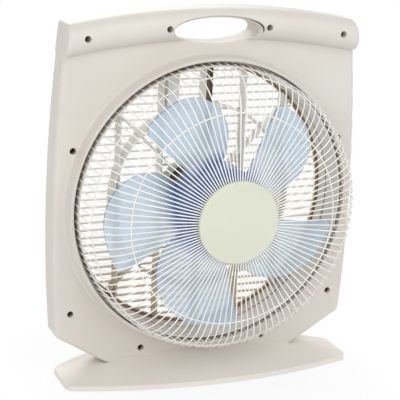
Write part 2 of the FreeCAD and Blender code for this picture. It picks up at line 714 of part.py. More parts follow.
def make_front_shell():
    front = -S.half_depth
    blank = shell_blank("front_blank", front, ZERO)
    roll = rounded(front_roll("front_roll", ZERO, ROLL_HALF), S.roll_end_round, round_end)
    outer = fused("front_outer", blank, roll)
    hollow = shell_hollow("front_hollow", front + S.wall)
    roll_hollow = front_roll("front_roll_hollow", S.wall, ROLL_HALF - S.wall)
    opening = cylinder("front_opening", S.collar_bore + S.wall / 2, -EVERYWHERE, EVERYWHERE * 2)
    skin = cut("front_skin", outer, hollow, roll_hollow, opening)

    tube = slot_bar("front_slot_tube", S.wall / 2 - S.roll_reach, S.roll_reach - S.wall / 2, S.wall)
    tube_inside = common("front_slot_wall", tube, outer)

    groove_back = S.wall - S.groove_floor
    lip_start = S.lip_chamfer - S.collar_reach
    duct_outer = S.duct_bore + S.duct_wall
    collar = turned("front_collar", [
        (S.duct_bore, S.duct_wall / 2 - S.collar_reach),
        (duct_outer, S.duct_wall / 2 - S.collar_reach),
        (duct_outer, -S.groove_floor),
        (S.collar_bore, -S.groove_floor),
        (S.collar_bore, lip_start),
        (S.collar_bore + S.lip_chamfer, -S.collar_reach),
        (S.collar_lip - S.lip_chamfer, -S.collar_reach),
        (S.collar_lip, lip_start),
        (S.collar_foot, -S.collar_toe_depth),
        (S.collar_toe_bend, -S.collar_bend_depth),
        (S.collar_toe, -S.half_depth),
        (S.collar_toe, S.wall - S.half_depth),
        (S.collar_bore, S.wall - S.half_depth),
        (S.collar_bore, groove_back),
        (duct_outer, groove_back),
        (duct_outer, -S.duct_gap),
        (S.duct_bore, -S.duct_gap),
    ])

    bosses = []
    wells = []
    for name, x, z in SCREW_PLACES:
        in_roll = z.value > S.crown_height.value - S.roll_radius.value * 2
        skin_depth = S.roll_reach if in_roll else S.half_depth
        start = S.wall - skin_depth
        bosses.append(cylinder(f"front_boss_{name}", S.well_radius + S.well_wall, start, -start, x, z))
        wells.append(cylinder(f"front_well_{name}", S.well_radius, -EVERYWHERE,
                              EVERYWHERE - S.well_seat, x, z))
        wells.append(cylinder(f"front_hole_{name}", SCREW_HOLE, -EVERYWHERE, EVERYWHERE * 2, x, z))
    body = fused("front_walls", skin, tube_inside, collar, *bosses, *base_bosses("front"))
    slot = slot_bar("front_slot", -EVERYWHERE, EVERYWHERE * 2, ZERO)
    throat = S.slot_flare_depth - S.roll_reach
    flare = slot_flare("front_slot_flare", -S.roll_reach, throat)
    node("front_shell", cut("front_shell", body, slot, flare, *wells, *base_screw_holes("front")))


def make_rear_shell():
    blank = shell_blank("rear_blank", ZERO, S.half_depth)
    roll = rounded(rear_roll("rear_roll", ZERO, ROLL_HALF), S.roll_end_round, round_end_or_top)
    outer = fused("rear_outer", blank, roll)
    hollow = shell_hollow("rear_hollow", -S.wall * 2)
    roll_hollow = rear_roll("rear_roll_hollow", S.wall, ROLL_HALF - S.wall)
    opening = cylinder("rear_opening", S.duct_rear_bore + S.wall / 2, -EVERYWHERE, EVERYWHERE * 2)
    skin = cut("rear_skin", outer, hollow, roll_hollow, opening)

    tube = slot_bar("rear_slot_tube", ZERO, S.half_depth - S.wall / 2, S.wall)
    duct_rear_outer = S.duct_rear_bore + S.duct_wall
    duct = turned("rear_duct", [
        (S.duct_bore, S.duct_gap),
        (S.duct_bore + S.duct_wall, S.duct_gap),
        (duct_rear_outer, S.half_depth - S.wall / 2),
        (duct_rear_outer + S.wall, S.half_depth - S.wall / 2),
        (duct_rear_outer + S.wall, S.half_depth),
        (S.duct_rear_bore, S.half_depth),
    ])
    inside = S.half_depth - S.wall / 2
    bosses = [cylinder(f"rear_boss_{name}", S.well_radius, ZERO, inside, x, z)
              for name, x, z in SCREW_PLACES]
    holes = [cylinder(f"rear_hole_{name}", SCREW_HOLE, -S.wall, S.wall + S.screw_reach + S.wall / 2, x, z)
             for name, x, z in SCREW_PLACES]
    grille_count = int(S.grille_screw_count.value)
    tip = S.half_depth + S.flange_step + S.flange_thickness - S.grille_screw_length
    for number in range(grille_count):
        x, z = on_circle(S.grille_screw_circle, grille_count, number)
        start = tip - S.wall
        bosses.append(cylinder(f"grille_boss_{number}", S.grille_boss_radius, start, inside - start, x, z))
        holes.append(cylinder(f"grille_hole_{number}", SCREW_HOLE, tip - S.wall / 2, EVERYWHERE, x, z))
    body = fused("rear_walls", skin, tube, duct, *bosses, *base_bosses("rear"))
    slot = slot_bar("rear_slot", -EVERYWHERE, EVERYWHERE * 2, ZERO)
    flare = slot_flare("rear_slot_flare", S.half_depth + S.wall, S.half_depth - S.slot_flare)
    neck = cylinder("switch_neck_hole", S.switch_neck_radius + S.screw_clearance, ZERO, EVERYWHERE,
                    -S.switch_x, S.switch_z)
    gland = cylinder("gland_hole", S.gland_radius + S.screw_clearance, ZERO, EVERYWHERE,
                     -S.gland_x, S.gland_z)
    node("rear_shell", cut("rear_shell", body, slot, flare, neck, gland, *holes,
                           *base_screw_holes("rear")))


make_front_shell()
make_rear_shell()


# The front guard: radial wires that leave the disc, run out over a shallow cone, turn down a
# round shoulder and end in the collar's groove, with two hoops and a rim behind them.

WIRE_DEPTH = S.disc_thickness - S.guard_reach + S.wire_width / 2 + S.seat_clearance
SHOULDER_CHORDS = 3


def shoulder_point(share, radius=S.shoulder_radius):
    """Radius and depth of a point on the shoulder, from its start (0) to its end (1)."""
    angle = S.wire_cone + S.shoulder_turn * share
    return S.shoulder_centre + radius * sine(angle), -S.shoulder_depth - radius * cosine(angle)


def make_guard_wires():
    body = new_body("wire")
    stations = [(S.wire_inner, WIRE_DEPTH), (S.wire_flat, WIRE_DEPTH)]
    stations += [shoulder_point(as_size(n) / SHOULDER_CHORDS) for n in range(SHOULDER_CHORDS + 1)]
    stations += [(S.wire_outer, -S.wire_bend_depth), (S.wire_outer, -S.wire_end_depth)]
    path = sketch_on(body, "XY_Plane", "wire_path")
    last = len(stations) - 2
    for number in range(last + 1):
        start, finish = (Vector(r.value, d.value, 0) for r, d in stations[number:number + 2])
        line = path.addGeometry(Part.LineSegment(start, finish), False)
        pin_point(path, line, 1, *stations[number])
        if number:
            path.addConstraint(Sketcher.Constraint("Coincident", line - 1, 2, line, 1))
    pin_point(path, last, 2, *stations[-1])
    section = sketch_on(body, "YZ_Plane", "wire_section")
    section.setExpression("AttachmentOffset.Base.z", S.wire_inner.text)
    half = S.wire_width / 2
    near = WIRE_DEPTH - half
    far = WIRE_DEPTH + half
    draw(section, [(near, -half), (far, -half), (far, half), (near, half)])
    pipe = body.newObject("PartDesign::AdditivePipe", "wire_pipe")
    pipe.Profile = section
    pipe.Spine = (path, [f"Edge{n + 1}" for n in range(last + 1)])
    pipe.Transition = "Right corner"
    place(body, 0, 0, AXIS)
    node("guard_wires", group("guard_wires", *round_axis(body, "guard_wire", int(S.wire_count.value))))


def make_guard_hoops():
    half = S.hoop_width / 2
    cone_lean = sine(S.wire_cone) / cosine(S.wire_cone)
    cone_radius, cone_depth = shoulder_point(ZERO)
    behind = S.wire_width / 2 + S.seat_clearance * 2 + half * cone_lean
    front = cone_depth - (cone_radius - S.inner_hoop_radius) * cone_lean + behind
    node("guard_inner_hoop", turned("guard_inner_hoop", [
        (S.inner_hoop_radius - half, front),
        (S.inner_hoop_radius + half, front),
        (S.inner_hoop_radius + half, front + S.hoop_width),
        (S.inner_hoop_radius - half, front + S.hoop_width),
    ]))

    angle = S.wire_cone + S.shoulder_turn * (as_size(2 * SHOULDER_CHORDS - 1) / (2 * SHOULDER_CHORDS))
    chord_radius = S.shoulder_radius * cosine(S.shoulder_turn / (2 * SHOULDER_CHORDS))
    inward = chord_radius - S.wire_width / 2 - S.seat_clearance
    along = S.outer_hoop_shift

    def corner(depth, shift):
        out = inward - depth
        on = along + shift
        return (S.shoulder_centre + out * sine(angle) + on * cosine(angle),
                -S.shoulder_depth - out * cosine(angle) + on * sine(angle))

    node("guard_outer_hoop", turned("guard_outer_hoop", [
        corner(ZERO, -half), corner(ZERO, half), corner(S.hoop_width, half), corner(S.hoop_width, -half),
    ]))


def make_guard_rim():
    inner = S.wire_outer + S.wire_width / 2 + S.seat_clearance
    node("guard_rim", turned("guard_rim", [
        (inner, -S.rim_reach), (S.rim_outer, -S.rim_reach),
        (S.rim_outer, -S.groove_floor), (inner, -S.groove_floor),
    ]))


def make_guard_disc():
    front = -S.guard_reach
    back = front + S.disc_thickness
    boss_end = back + S.wire_width + S.seat_clearance * 2
    plate_back = boss_end + S.clamp_plate_thickness
    screw_tip = front + S.disc_thickness / 2
    disc = turned("disc", [
        (ZERO, front), (S.disc_radius - S.disc_round, front), (S.disc_radius, front + S.disc_round),
        (S.disc_radius, back), (S.disc_boss_radius, back), (S.disc_boss_radius, boss_end),
        (ZERO, boss_end),
    ], {1: (S.disc_round, 1)})
    hole = cylinder("disc_screw_hole", SCREW_HOLE, screw_tip, EVERYWHERE)
    node("guard_disc", cut("guard_disc", disc, hole))
    node("guard_back_plate", turned("guard_back_plate", [
        (SCREW_HOLE, boss_end), (S.clamp_plate_radius, boss_end),
        (S.clamp_plate_radius, plate_back), (SCREW_HOLE, plate_back),
    ]))
    head_end = plate_back + S.screw_head_height
    node("guard_disc_screw", turned("guard_disc_screw", [
        (ZERO, screw_tip + S.seat_clearance), (S.screw_radius, screw_tip + S.seat_clearance),
        (S.screw_radius, plate_back), (S.screw_head_radius, plate_back),
        (S.screw_head_radius, head_end), (ZERO, head_end),
    ]))


make_guard_wires()
make_guard_hoops()
make_guard_rim()
make_guard_disc()


# The impeller: each blade is a slab twisted round the axis and trimmed to a petal, whose
# front edge is straight and whose other edge is round.


def make_impeller():
    lead = S.slab_lead
    blade_front = -S.blade_depth - S.blade_slope * lead - S.blade_thickness / 2
    slab = new_body("blade_slab")
    profile = sketch_on(slab, "XY_Plane", "slab_profile")
    profile.AttachmentOffset = Placement(Vector(), Rotation(Vector(0, 1, 0), -lead.value))
    tip = S.petal_centre + S.petal_radius
    inner = S.hub_radius - S.hub_wall / 2
    draw(profile, [
        (inner, blade_front), (tip * 2, blade_front),
        (tip * 2, blade_front + S.blade_thickness), (inner, blade_front + S.blade_thickness),
    ])
    twist = slab.newObject("PartDesign::AdditiveHelix", "blade_twist")
    twist.Profile = profile
    twist.ReferenceAxis = (profile, ["V_Axis"])
    twist.Mode = 0
    bind(twist, Pitch=S.blade_slope * 360, Height=S.blade_slope * S.slab_turn)
    place(slab, 0, 0, AXIS)

    petal = padded("blade_petal", [
        (S.trail_root_radius * cosine(S.trail_root_angle), S.trail_root_radius * sine(S.trail_root_angle)),
        (S.petal_centre + S.petal_radius * cosine(S.petal_end), -S.petal_radius * sine(S.petal_end)),
        (tip, ZERO),
        (tip * cosine(S.trail_tip_angle), tip * sine(S.trail_tip_angle)),
    ], {1: (S.petal_radius, 1), 2: (tip, 1)}, -EVERYWHERE, EVERYWHERE * 2, AXIS)
    rounded(petal, S.trail_round,
            at_corner(tip * cosine(S.trail_tip_angle), tip * sine(S.trail_tip_angle)))
    blade = common("blade", slab, petal)

    front = -S.hub_front
    wall = S.hub_wall
    bore = S.shaft_radius + S.fit_clearance
    hub = turned("hub", [
        (bore, front), (S.hub_radius - S.hub_round, front), (S.hub_radius, front + S.hub_round),
        (S.hub_radius, -S.hub_rear), (S.hub_radius - wall, -S.hub_rear),
        (S.hub_radius - wall, front + S.hub_round), (S.hub_radius - S.hub_round, front + wall),
        (S.hub_boss_radius, front + wall), (S.hub_boss_radius, -S.hub_boss_rear),
        (bore, -S.hub_boss_rear),
    ], {1: (S.hub_round, 1), 5: (S.hub_round - wall, -1)})
    width = S.pin_radius * 2 + S.seat_clearance * 2
    slot = block("pin_slot", -S.hub_boss_radius - wall, -S.hub_boss_rear - S.pin_slot_depth,
                 AXIS - width / 2, (S.hub_boss_radius + wall) * 2, S.pin_slot_depth * 2, width)
    cup = cut("hub_cup", hub, slot)
    blades = round_axis(blade, "impeller_blade", int(S.blade_count.value), S.blade_start.value)
    node("impeller", fused("impeller", cup, *blades))


def make_spindle():
    """The shaft with the rotor behind it, the hub's cross pin and its spinner nut."""
    radius = S.shaft_radius
    pin_depth = S.seat_clearance + S.pin_radius - S.hub_boss_rear - S.pin_slot_depth
    shaft = cylinder("shaft_bar", radius, -S.shaft_front, S.shaft_front + S.shaft_rear)
    hole = doc.addObject("Part::Cylinder", "shaft_pin_hole")
    bind(hole, Radius=S.pin_radius + S.fit_clearance, Height=S.pin_half_length * 2)
    place(hole, -S.pin_half_length, pin_depth, AXIS, SIDEWAYS)
    node("motor_shaft", cut("motor_shaft", shaft, hole))
    pin = doc.addObject("Part::Cylinder", "drive_pin")
    bind(pin, Radius=S.pin_radius, Height=S.pin_half_length * 2)
    node("drive_pin", place(pin, -S.pin_half_length, pin_depth, AXIS, SIDEWAYS))

    seat = -S.hub_front
    front = seat - S.nut_height
    bore = radius + S.fit_clearance
    bore_end = -S.shaft_front - S.seat_clearance
    round_start = front + S.nut_height * 2 / 3
    dome = (S.nut_radius * S.nut_radius + (round_start - front) * (round_start - front))
    dome_radius = dome / ((round_start - front) * 2)
    node("impeller_nut", turned("impeller_nut", [
        (ZERO, front), (S.nut_radius, round_start), (S.nut_radius, seat), (bore, seat),
        (bore, bore_end), (ZERO, bore_end),
    ], {0: (dome_radius, 1)}))

    rotor_bore = radius + S.fit_clearance
    node("motor_rotor", turned("motor_rotor", [
        (rotor_bore, -S.stator_front), (S.rotor_radius, -S.stator_front),
        (S.rotor_radius, -S.stator_rear), (rotor_bore, -S.stator_rear),
    ]))


make_impeller()
make_spindle()


# The motor: a laminated stator between two covers, which hold the shaft's bushes.


def bolt_holes(name):
    count = int(S.bolt_count.value)
    holes = []
    for number in range(count):
        x, z = on_circle(S.bolt_circle, count, number, 180.0 / count)
        holes.append(cylinder(f"{name}_{number}", S.bolt_radius + S.screw_clearance, -EVERYWHERE,
                              EVERYWHERE * 2, x, z))
    return holes


def motor_cover(name, rim, face, sign):
    """A cup from its rim to its outer face; sign is 1 for the rear cover, -1 for the front."""
    wall = S.motor_wall * sign
    inside = face - wall
    housing_end = inside - S.bush_length * sign
    outer = S.motor_radius
    bush = S.bush_radius + S.fit_clearance
    bend = -sign
    round_radius = S.motor_wall
    corners = [
        (S.shaft_radius + S.shaft_room, face), (outer - round_radius, face), (outer, face - wall),
        (outer, rim), (outer - S.motor_wall, rim), (outer - S.motor_wall, inside),
        (S.bush_housing, inside), (S.bush_housing, housing_end), (bush, housing_end),
        (bush, inside), (S.shaft_radius + S.shaft_room, inside),
    ]
    cup = turned(f"{name}_cup", corners, {1: (round_radius, bend)})
    node(name, cut(name, cup, *bolt_holes(f"{name}_hole")))
    return housing_end, inside


def ring(name, inner, outer, start, end):
    return turned(name, [(inner, start), (outer, start), (outer, end), (inner, end)])


def make_motor():
    stator = ring("stator_ring", S.rotor_radius + S.air_gap, S.motor_radius, -S.stator_front, -S.stator_rear)
    node("motor_stator", cut("motor_stator", stator, *bolt_holes("stator_hole")))
    rear_turns = ring("rear_turns", S.winding_inner, S.winding_outer,
                      -S.stator_rear, S.winding_height - S.stator_rear)
    front_turns = ring("front_turns", S.winding_inner, S.winding_outer,
                       -S.stator_front - S.winding_height, -S.stator_front)
    node("motor_windings", group("motor_windings", rear_turns, front_turns))

    bushes = []
    covers = (("motor_front_cover", -S.stator_front, -S.motor_front, -1),
              ("motor_rear_cover", -S.stator_rear, S.motor_rear, 1))
    for name, rim, face, sign in covers:
        mouth, floor = motor_cover(name, rim, face, sign)
        start, end = (mouth, floor) if sign > 0 else (floor, mouth)
        bushes.append(ring(f"{name}_bush", S.shaft_radius + S.fit_clearance, S.bush_radius, start, end))
    node("motor_bearings", group("motor_bearings", *bushes))

    bolts = []
    nuts = []
    count = int(S.bolt_count.value)
    plate_rear = S.motor_rear + S.plate_thickness
    bolt_end = plate_rear + S.bolt_nut_height + S.bolt_radius
    for number in range(count):
        x, z = on_circle(S.bolt_circle, count, number, 180.0 / count)
        bolts.append(turned(f"motor_bolt_{number}", [
            (ZERO, -S.motor_front - S.screw_head_height),
            (S.screw_head_radius, -S.motor_front - S.screw_head_height),
            (S.screw_head_radius, -S.motor_front), (S.bolt_radius, -S.motor_front),
            (S.bolt_radius, bolt_end), (ZERO, bolt_end),
        ], None, x, z))
        prism = doc.addObject("Part::Prism", f"motor_nut_prism_{number}")
        prism.Polygon = 6
        bind(prism, Circumradius=S.bolt_nut_radius, Height=S.bolt_nut_height)
        place(prism, x, plate_rear, z, BACKWARDS)
        bore = cylinder(f"motor_nut_bore_{number}", S.bolt_radius + S.screw_clearance, ZERO, EVERYWHERE, x, z)
        nuts.append(cut(f"motor_nut_{number}", prism, bore))
    node("motor_bolts", group("motor_bolts", *bolts))
    node("motor_nuts", group("motor_nuts", *nuts))


make_motor()


# The rear grille: slats across, upright ribs, a stiffening ring, slanting spokes and the motor
# plate, on a flange that stands off the shell on its outer foot.


def make_rear_grille():
    front = S.grille_front
    rear = front + S.grille_thickness
    reach = S.grille_bore + S.flange_step
    ribs_deep = rear - S.rib_front
    slat_count = int(reach.value // S.slat_pitch.value)
    slats = []
    for number in range(-slat_count, slat_count + 1):
        height = AXIS + S.slat_pitch * number - S.slat_height / 2
        slats.append(block(f"slat_{number + slat_count}", -reach, front, height,
                           reach * 2, S.grille_thickness, S.slat_height))
    ribs = []
    rib_count = int((reach.value - S.rib_clear.value) // S.rib_pitch.value)
    for number in range(-rib_count, rib_count + 1):
        left = S.rib_pitch * number - S.rib_width / 2
        ribs.append(block(f"rib_{number + rib_count}", left, S.rib_front, AXIS - reach,
                          S.rib_width, ribs_deep, reach * 2))
    spoke = block("spoke", -reach, S.spoke_front, AXIS - S.rib_width / 2, reach * 2,
                  rear - S.spoke_front, S.rib_width)
    spokes = round_axis(spoke, "grille_spoke", 4, 45.0)[:2]
    field = ring("grille_field", S.plate_radius - S.rib_width, reach, S.rib_front - S.rib_width,
                 rear + S.rib_width)
    bars = [common(f"trimmed_{name}", group(name, *items), field)
            for name, items in (("slats", slats), ("ribs", ribs), ("spokes", spokes))]
    stiffener = ring("grille_ring", S.ring_radius, S.ring_radius + S.ring_width, S.ring_front, rear)
    plate = ring("plate_ring", S.bush_housing, S.plate_radius, S.motor_rear, S.motor_rear + S.plate_thickness)
    bored_plate = cut("motor_plate", plate, *bolt_holes("plate_hole"))
    face = S.half_depth + S.flange_step
    flange = turned("flange_ring", [
        (S.grille_bore, face), (S.flange_foot, face), (S.flange_foot, S.half_depth),
        (S.grille_outer, S.half_depth), (S.grille_outer, face + S.flange_thickness),
        (S.grille_bore, face + S.flange_thickness),
    ])

    count = int(S.grille_screw_count.value)
    head = face + S.flange_thickness
    holes = []
    screws = []
    for number in range(count):
        x, z = on_circle(S.grille_screw_circle, count, number)
        holes.append(cylinder(f"flange_hole_{number}", SCREW_HOLE, ZERO, EVERYWHERE, x, z))
        screws.append(turned(f"grille_screw_{number}", [
            (ZERO, head - S.grille_screw_length), (S.screw_radius, head - S.grille_screw_length),
            (S.screw_radius, head), (S.screw_head_radius, head),
            (S.screw_head_radius, head + S.screw_head_height), (ZERO, head + S.screw_head_height),
        ], None, x, z))
    bored_flange = cut("grille_flange", flange, *holes)
    whole = fused("rear_guard", *bars, stiffener, bored_plate, bored_flange)
    whole.Refine = False
    node("rear_guard", whole)
    node("rear_guard_screws", group("rear_guard_screws", *screws))


def make_cable_cover():
    tall = S.channel_high - S.channel_low
    deep = S.grille_front - S.channel_front
    wall = S.channel_wall
    outer = block("channel_outer", -S.channel_x, S.channel_front, AXIS + S.channel_low,
                  S.channel_width, deep, tall)
    inner = block("channel_inner", wall - S.channel_x, S.channel_front + wall,
                  AXIS + S.channel_low - wall, S.channel_width - wall * 2, deep, tall + wall * 2)
    node("cable_cover", cut("cable_cover", outer, inner))


make_rear_grille()
make_cable_cover()


# The base: a plan with bowed edges, squared ends in front and a rear edge that runs round to
# them, under a roof that rises to the shell's foot in the middle and sinks to a ridge at
# either end.


def bow_radius(rise):
    """Radius of an arc that spans the base's width with a given rise."""
    return S.base_half_width * S.base_half_width / (rise * 2) + rise / 2


BASE_BOWS = {
    -1: (S.base_front, bow_radius(S.base_front - S.base_front_end)),
    1: (S.base_rear, bow_radius(S.base_rear - S.base_rear_end)),
}


def base_edge(side, x, inset=ZERO):
    """Depth of the base's front (-1) or rear (1) edge at a distance from the middle."""
    reach, radius = BASE_BOWS[side]
    bow = radius - inset
    return (reach - radius + root(bow * bow - x * x)) * side


def base_plan(name, inset):
    """The base's outline seen from above, given height."""
    body = new_body(name)
    half_width = S.base_half_width - inset
    front = base_edge(-1, half_width, inset)
    rear = base_edge(1, half_width, inset)
    sketch = sketch_on(body, "XY_Plane", f"{name}_outline")
    draw(sketch, [(-half_width, front), (half_width, front), (half_width, rear), (-half_width, rear)],
         {0: (BASE_BOWS[-1][1] - inset, 1), 2: (BASE_BOWS[1][1] - inset, 1)})
    pad = body.newObject("PartDesign::Pad", f"{name}_pad")
    pad.Profile = sketch
    bind(pad, Length=S.crown_height)
    place(body, 0, 0, ZERO)

    def corner(edge):
        ends = [vertex.Point for vertex in edge.Vertexes]
        upright = math.hypot(ends[0].x - ends[-1].x, ends[0].y - ends[-1].y) < NEAR
        return upright and all(abs(abs(end.x) - half_width.value) < NEAR for end in ends)

    return rounded(body, S.base_corner_round - inset, corner)


def base_roof(name, inset, low):
    """The space under the base's roof, from low upwards, drawn in by a wall."""
    body = new_body(name)
    middle = [
        (ZERO, S.half_depth, S.foot_crown),
        (S.foot_waist_half, S.half_depth, S.foot_waist),
        (S.foot_half, S.half_depth, S.foot_low),
        (S.base_half_width, S.base_ridge_half, S.base_ridge),
    ]
    stations = [(-x, crease, top) for x, crease, top in reversed(middle)] + middle[1:]
    lip = S.base_lip - inset
    beyond = S.base_front + S.base_rear
    sections = []
    for number, (x, crease, top) in enumerate(stations):
        sketch = sketch_on(body, "YZ_Plane", f"{name}_section_{number}")
        sketch.setExpression("AttachmentOffset.Base.z", x.text)
        draw(sketch, [(-beyond, low), (beyond, low), (beyond, lip), (base_edge(1, x), lip),
                      (crease, top - inset), (-crease, top - inset), (base_edge(-1, x), lip),
                      (-beyond, lip)])
        sections.append(sketch)
    loft = body.newObject("PartDesign::AdditiveLoft", f"{name}_loft")
    loft.Profile = sections[0]
    loft.Sections = sections[1:]
    loft.Ruled = True
    return place(body, 0, 0, ZERO)


def make_base():
    solid = common("base_solid", base_plan("base_plan", ZERO), base_roof("base_roof", ZERO, S.base_lift))
    hollow = common("base_hollow", base_plan("base_inner_plan", S.base_wall),
                    base_roof("base_inner_roof", S.base_wall, ZERO))
    shell = cut("base_shell", solid, hollow)
    pad_places = {
        "right_front": (S.pad_front_x, -S.pad_front_y),
        "left_front": (-S.pad_front_x, -S.pad_front_y),
        "right_rear": (S.pad_rear_x, S.pad_rear_y),
        "left_rear": (-S.pad_rear_x, S.pad_rear_y),
    }
    posts = []
    pads = []
    for name, (x, depth) in pad_places.items():
        posts.append(post(f"pad_boss_{name}", S.pad_boss_radius, x, depth, S.pad_height, S.foot_crown))
        pads.append(post(f"pad_{name}", S.pad_radius, x, depth, ZERO, S.pad_height))
    bosses = common("pad_bosses", group("pad_posts", *posts), solid)
    holes = base_screw_holes("front", "base_") + base_screw_holes("rear", "base_")
    node("base_stand", cut("base_stand", fused("base_walls", shell, bosses), *holes))
    node("base_pads", group("base_pads", *pads))


# Fasteners of the shell and the base, the controls and the electrical pieces.


def make_screws():
    shell_screws = []
    for name, x, z in SCREW_PLACES:
        seat = -S.well_seat
        shell_screws.append(turned(f"shell_screw_{name}", [
            (ZERO, seat - S.screw_head_height), (S.screw_head_radius, seat - S.screw_head_height),
            (S.screw_head_radius, seat), (S.screw_radius, seat),
            (S.screw_radius, S.screw_reach), (ZERO, S.screw_reach),
        ], None, x, z))
    node("shell_screws", group("shell_screws", *shell_screws))

    base_screws = []
    slope = (S.foot_crown - S.foot_waist) / S.foot_waist_half
    seat = S.foot_crown - slope * (S.base_screw_x + S.screw_head_radius) - S.base_wall
    for side, places in BASE_SCREW_PLACES.items():
        for name, x, depth in places:
            head = post(f"base_screw_head_{side}_{name}", S.screw_head_radius, x, depth,
                        seat - S.screw_head_height, seat)
            shank = post(f"base_screw_shank_{side}_{name}", S.screw_radius, x, depth,
                         seat - S.screw_head_height / 2, BASE_BOSS_HIGH - S.wall)
            base_screws.append(fused(f"base_screw_{side}_{name}", head, shank))
    node("base_screws", group("base_screws", *base_screws))


def make_speed_control():
    x, z = -S.switch_x, S.switch_z
    inside = S.half_depth - S.wall
    half = S.switch_size / 2
    neck_end = S.half_depth + S.switch_nut_height
    bore = S.spindle_radius + S.fit_clearance
    bore_start = inside - S.switch_depth + S.wall
    case = block("switch_case", x - half, inside - S.switch_depth, z - half,
                 S.switch_size, S.switch_depth, S.switch_size)
    neck = cylinder("switch_neck", S.switch_neck_radius, inside - S.wall, neck_end - inside + S.wall, x, z)
    hole = cylinder("switch_bore", bore, bore_start, EVERYWHERE, x, z)
    node("speed_switch", cut("speed_switch", fused("switch_body", case, neck), hole))

    prism = doc.addObject("Part::Prism", "switch_nut_prism")
    prism.Polygon = 6
    bind(prism, Circumradius=S.switch_nut_radius, Height=S.switch_nut_height)
    place(prism, x, S.half_depth, z, BACKWARDS)
    nut_bore = cylinder("switch_nut_bore", S.switch_neck_radius + S.fit_clearance, ZERO, EVERYWHERE, x, z)
    node("switch_nut", cut("switch_nut", prism, nut_bore))

    start = bore_start + S.seat_clearance
    node("switch_spindle", cylinder("switch_spindle", S.spindle_radius, start, S.spindle_rear - start, x, z))

    foot = neck_end + S.knob_gap
    top = foot + S.knob_height
    skirt = foot + S.knob_skirt
    bore_end = S.spindle_rear + S.seat_clearance
    edge = (S.knob_radius - S.knob_grip_radius) / 2
    knob = turned("knob_body", [
        (ZERO, bore_end), (bore, bore_end), (bore, foot), (S.knob_radius, foot),
        (S.knob_radius, skirt - edge), (S.knob_grip_radius, skirt + edge),
        (S.knob_grip_radius, top - edge), (S.knob_grip_radius - edge, top), (ZERO, top),
    ], {6: (edge, 1)}, x, z)
    mark = block("knob_mark", x - S.knob_mark_width / 2, top - S.knob_mark_depth, z,
                 S.knob_mark_width, S.knob_mark_depth * 2, S.knob_radius)
    node("speed_knob", cut("speed_knob", knob, mark))


def make_electrics():
    inside = S.half_depth - S.wall
    boxes = (
        ("run_capacitor", S.capacitor_x, S.capacitor_z, S.capacitor_width, S.capacitor_height,
         S.capacitor_depth),
        ("terminal_block", S.terminal_x, S.terminal_z, S.terminal_width, S.terminal_height,
         S.terminal_depth),
    )
    for name, x, z, width, tall, deep in boxes:
        node(name, block(name, x - width / 2, inside - deep, z - tall / 2, width, deep, tall))
    node("cord_gland", turned("cord_gland", [
        (S.gland_bore, S.half_depth - S.gland_depth), (S.gland_radius, S.half_depth - S.gland_depth),
        (S.gland_radius, S.half_depth), (S.gland_flange, S.half_depth),
        (S.gland_radius, S.half_depth + S.gland_reach), (S.gland_bore, S.half_depth + S.gland_reach),
    ], None, -S.gland_x, S.gland_z))


make_base()
make_screws()
make_speed_control()
make_electrics()


def write_parts():
    """Check every object, then write each sub-part to its own file."""
    doc.recompute()
    faults = [item.Label for item in doc.Objects if {"Invalid", "Error"} & set(item.State)]
    if faults:
        raise RuntimeError(f"objects that did not build: {faults}")
    os.makedirs("parts", exist_ok=True)
    for item in nodes:
        shape = item.Shape
        if shape.isNull() or not shape.isValid():
            raise RuntimeError(f"{item.Label} has no valid shape")
    for item in nodes:
        item.Shape.exportStep(f"parts/{item.Label}.step")
        print(item.Label, len(item.Shape.Solids), "solids", round(item.Shape.Volume), "mm3")


write_parts()
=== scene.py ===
# %% [markdown]
# # A floor fan on a white ground
# The fan's solids come from a CAD model, which fixes every size and place. This lesson dresses
# them: it gives each piece the finish of the real one, draws the guard again in round wire, and
# adds cross-head screws and a small channel. Nothing that came from the CAD model is moved.

# %% Load the frame
import math

import bmesh
import bpy
from mathutils import Matrix, Vector


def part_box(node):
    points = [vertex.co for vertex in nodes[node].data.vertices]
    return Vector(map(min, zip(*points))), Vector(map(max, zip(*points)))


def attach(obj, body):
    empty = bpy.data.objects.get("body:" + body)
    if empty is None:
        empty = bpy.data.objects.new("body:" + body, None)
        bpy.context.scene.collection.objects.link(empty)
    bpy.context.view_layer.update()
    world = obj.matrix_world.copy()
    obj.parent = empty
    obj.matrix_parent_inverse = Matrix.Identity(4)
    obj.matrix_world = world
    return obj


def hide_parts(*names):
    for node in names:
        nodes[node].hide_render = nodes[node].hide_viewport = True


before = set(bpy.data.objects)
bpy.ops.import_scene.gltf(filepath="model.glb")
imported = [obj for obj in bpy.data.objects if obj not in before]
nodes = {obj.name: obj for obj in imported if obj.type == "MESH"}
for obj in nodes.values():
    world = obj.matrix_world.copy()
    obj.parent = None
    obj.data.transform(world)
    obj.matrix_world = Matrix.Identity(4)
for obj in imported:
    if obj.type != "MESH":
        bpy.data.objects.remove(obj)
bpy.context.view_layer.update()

print("pieces from the CAD model:", len(nodes))

# %% [markdown]
# ## The camera
# A product photograph like this is taken from some distance with a long lens, so upright edges
# stay nearly parallel. The place and the three angles below were worked out from the round
# guard, the disc and the upright sides. Blender's camera looks along its own -Z, so its axes
# are written straight into a matrix instead of three Euler angles.

# %% Camera
CAMERA_PLACE = Vector((-0.67757, -1.60810, 0.71242))
CAMERA_YAW = math.radians(22.465)
CAMERA_PITCH = math.radians(15.457)
CAMERA_ROLL = math.radians(2.496)
CAMERA_LENS = 125.41
CAMERA_SENSOR = 36.0
CAMERA_FAR = 20.0


def add_to_scene(name, data):
    """A new object made of some data, linked into the scene."""
    thing = bpy.data.objects.new(name, data)
    bpy.context.scene.collection.objects.link(thing)
    return thing


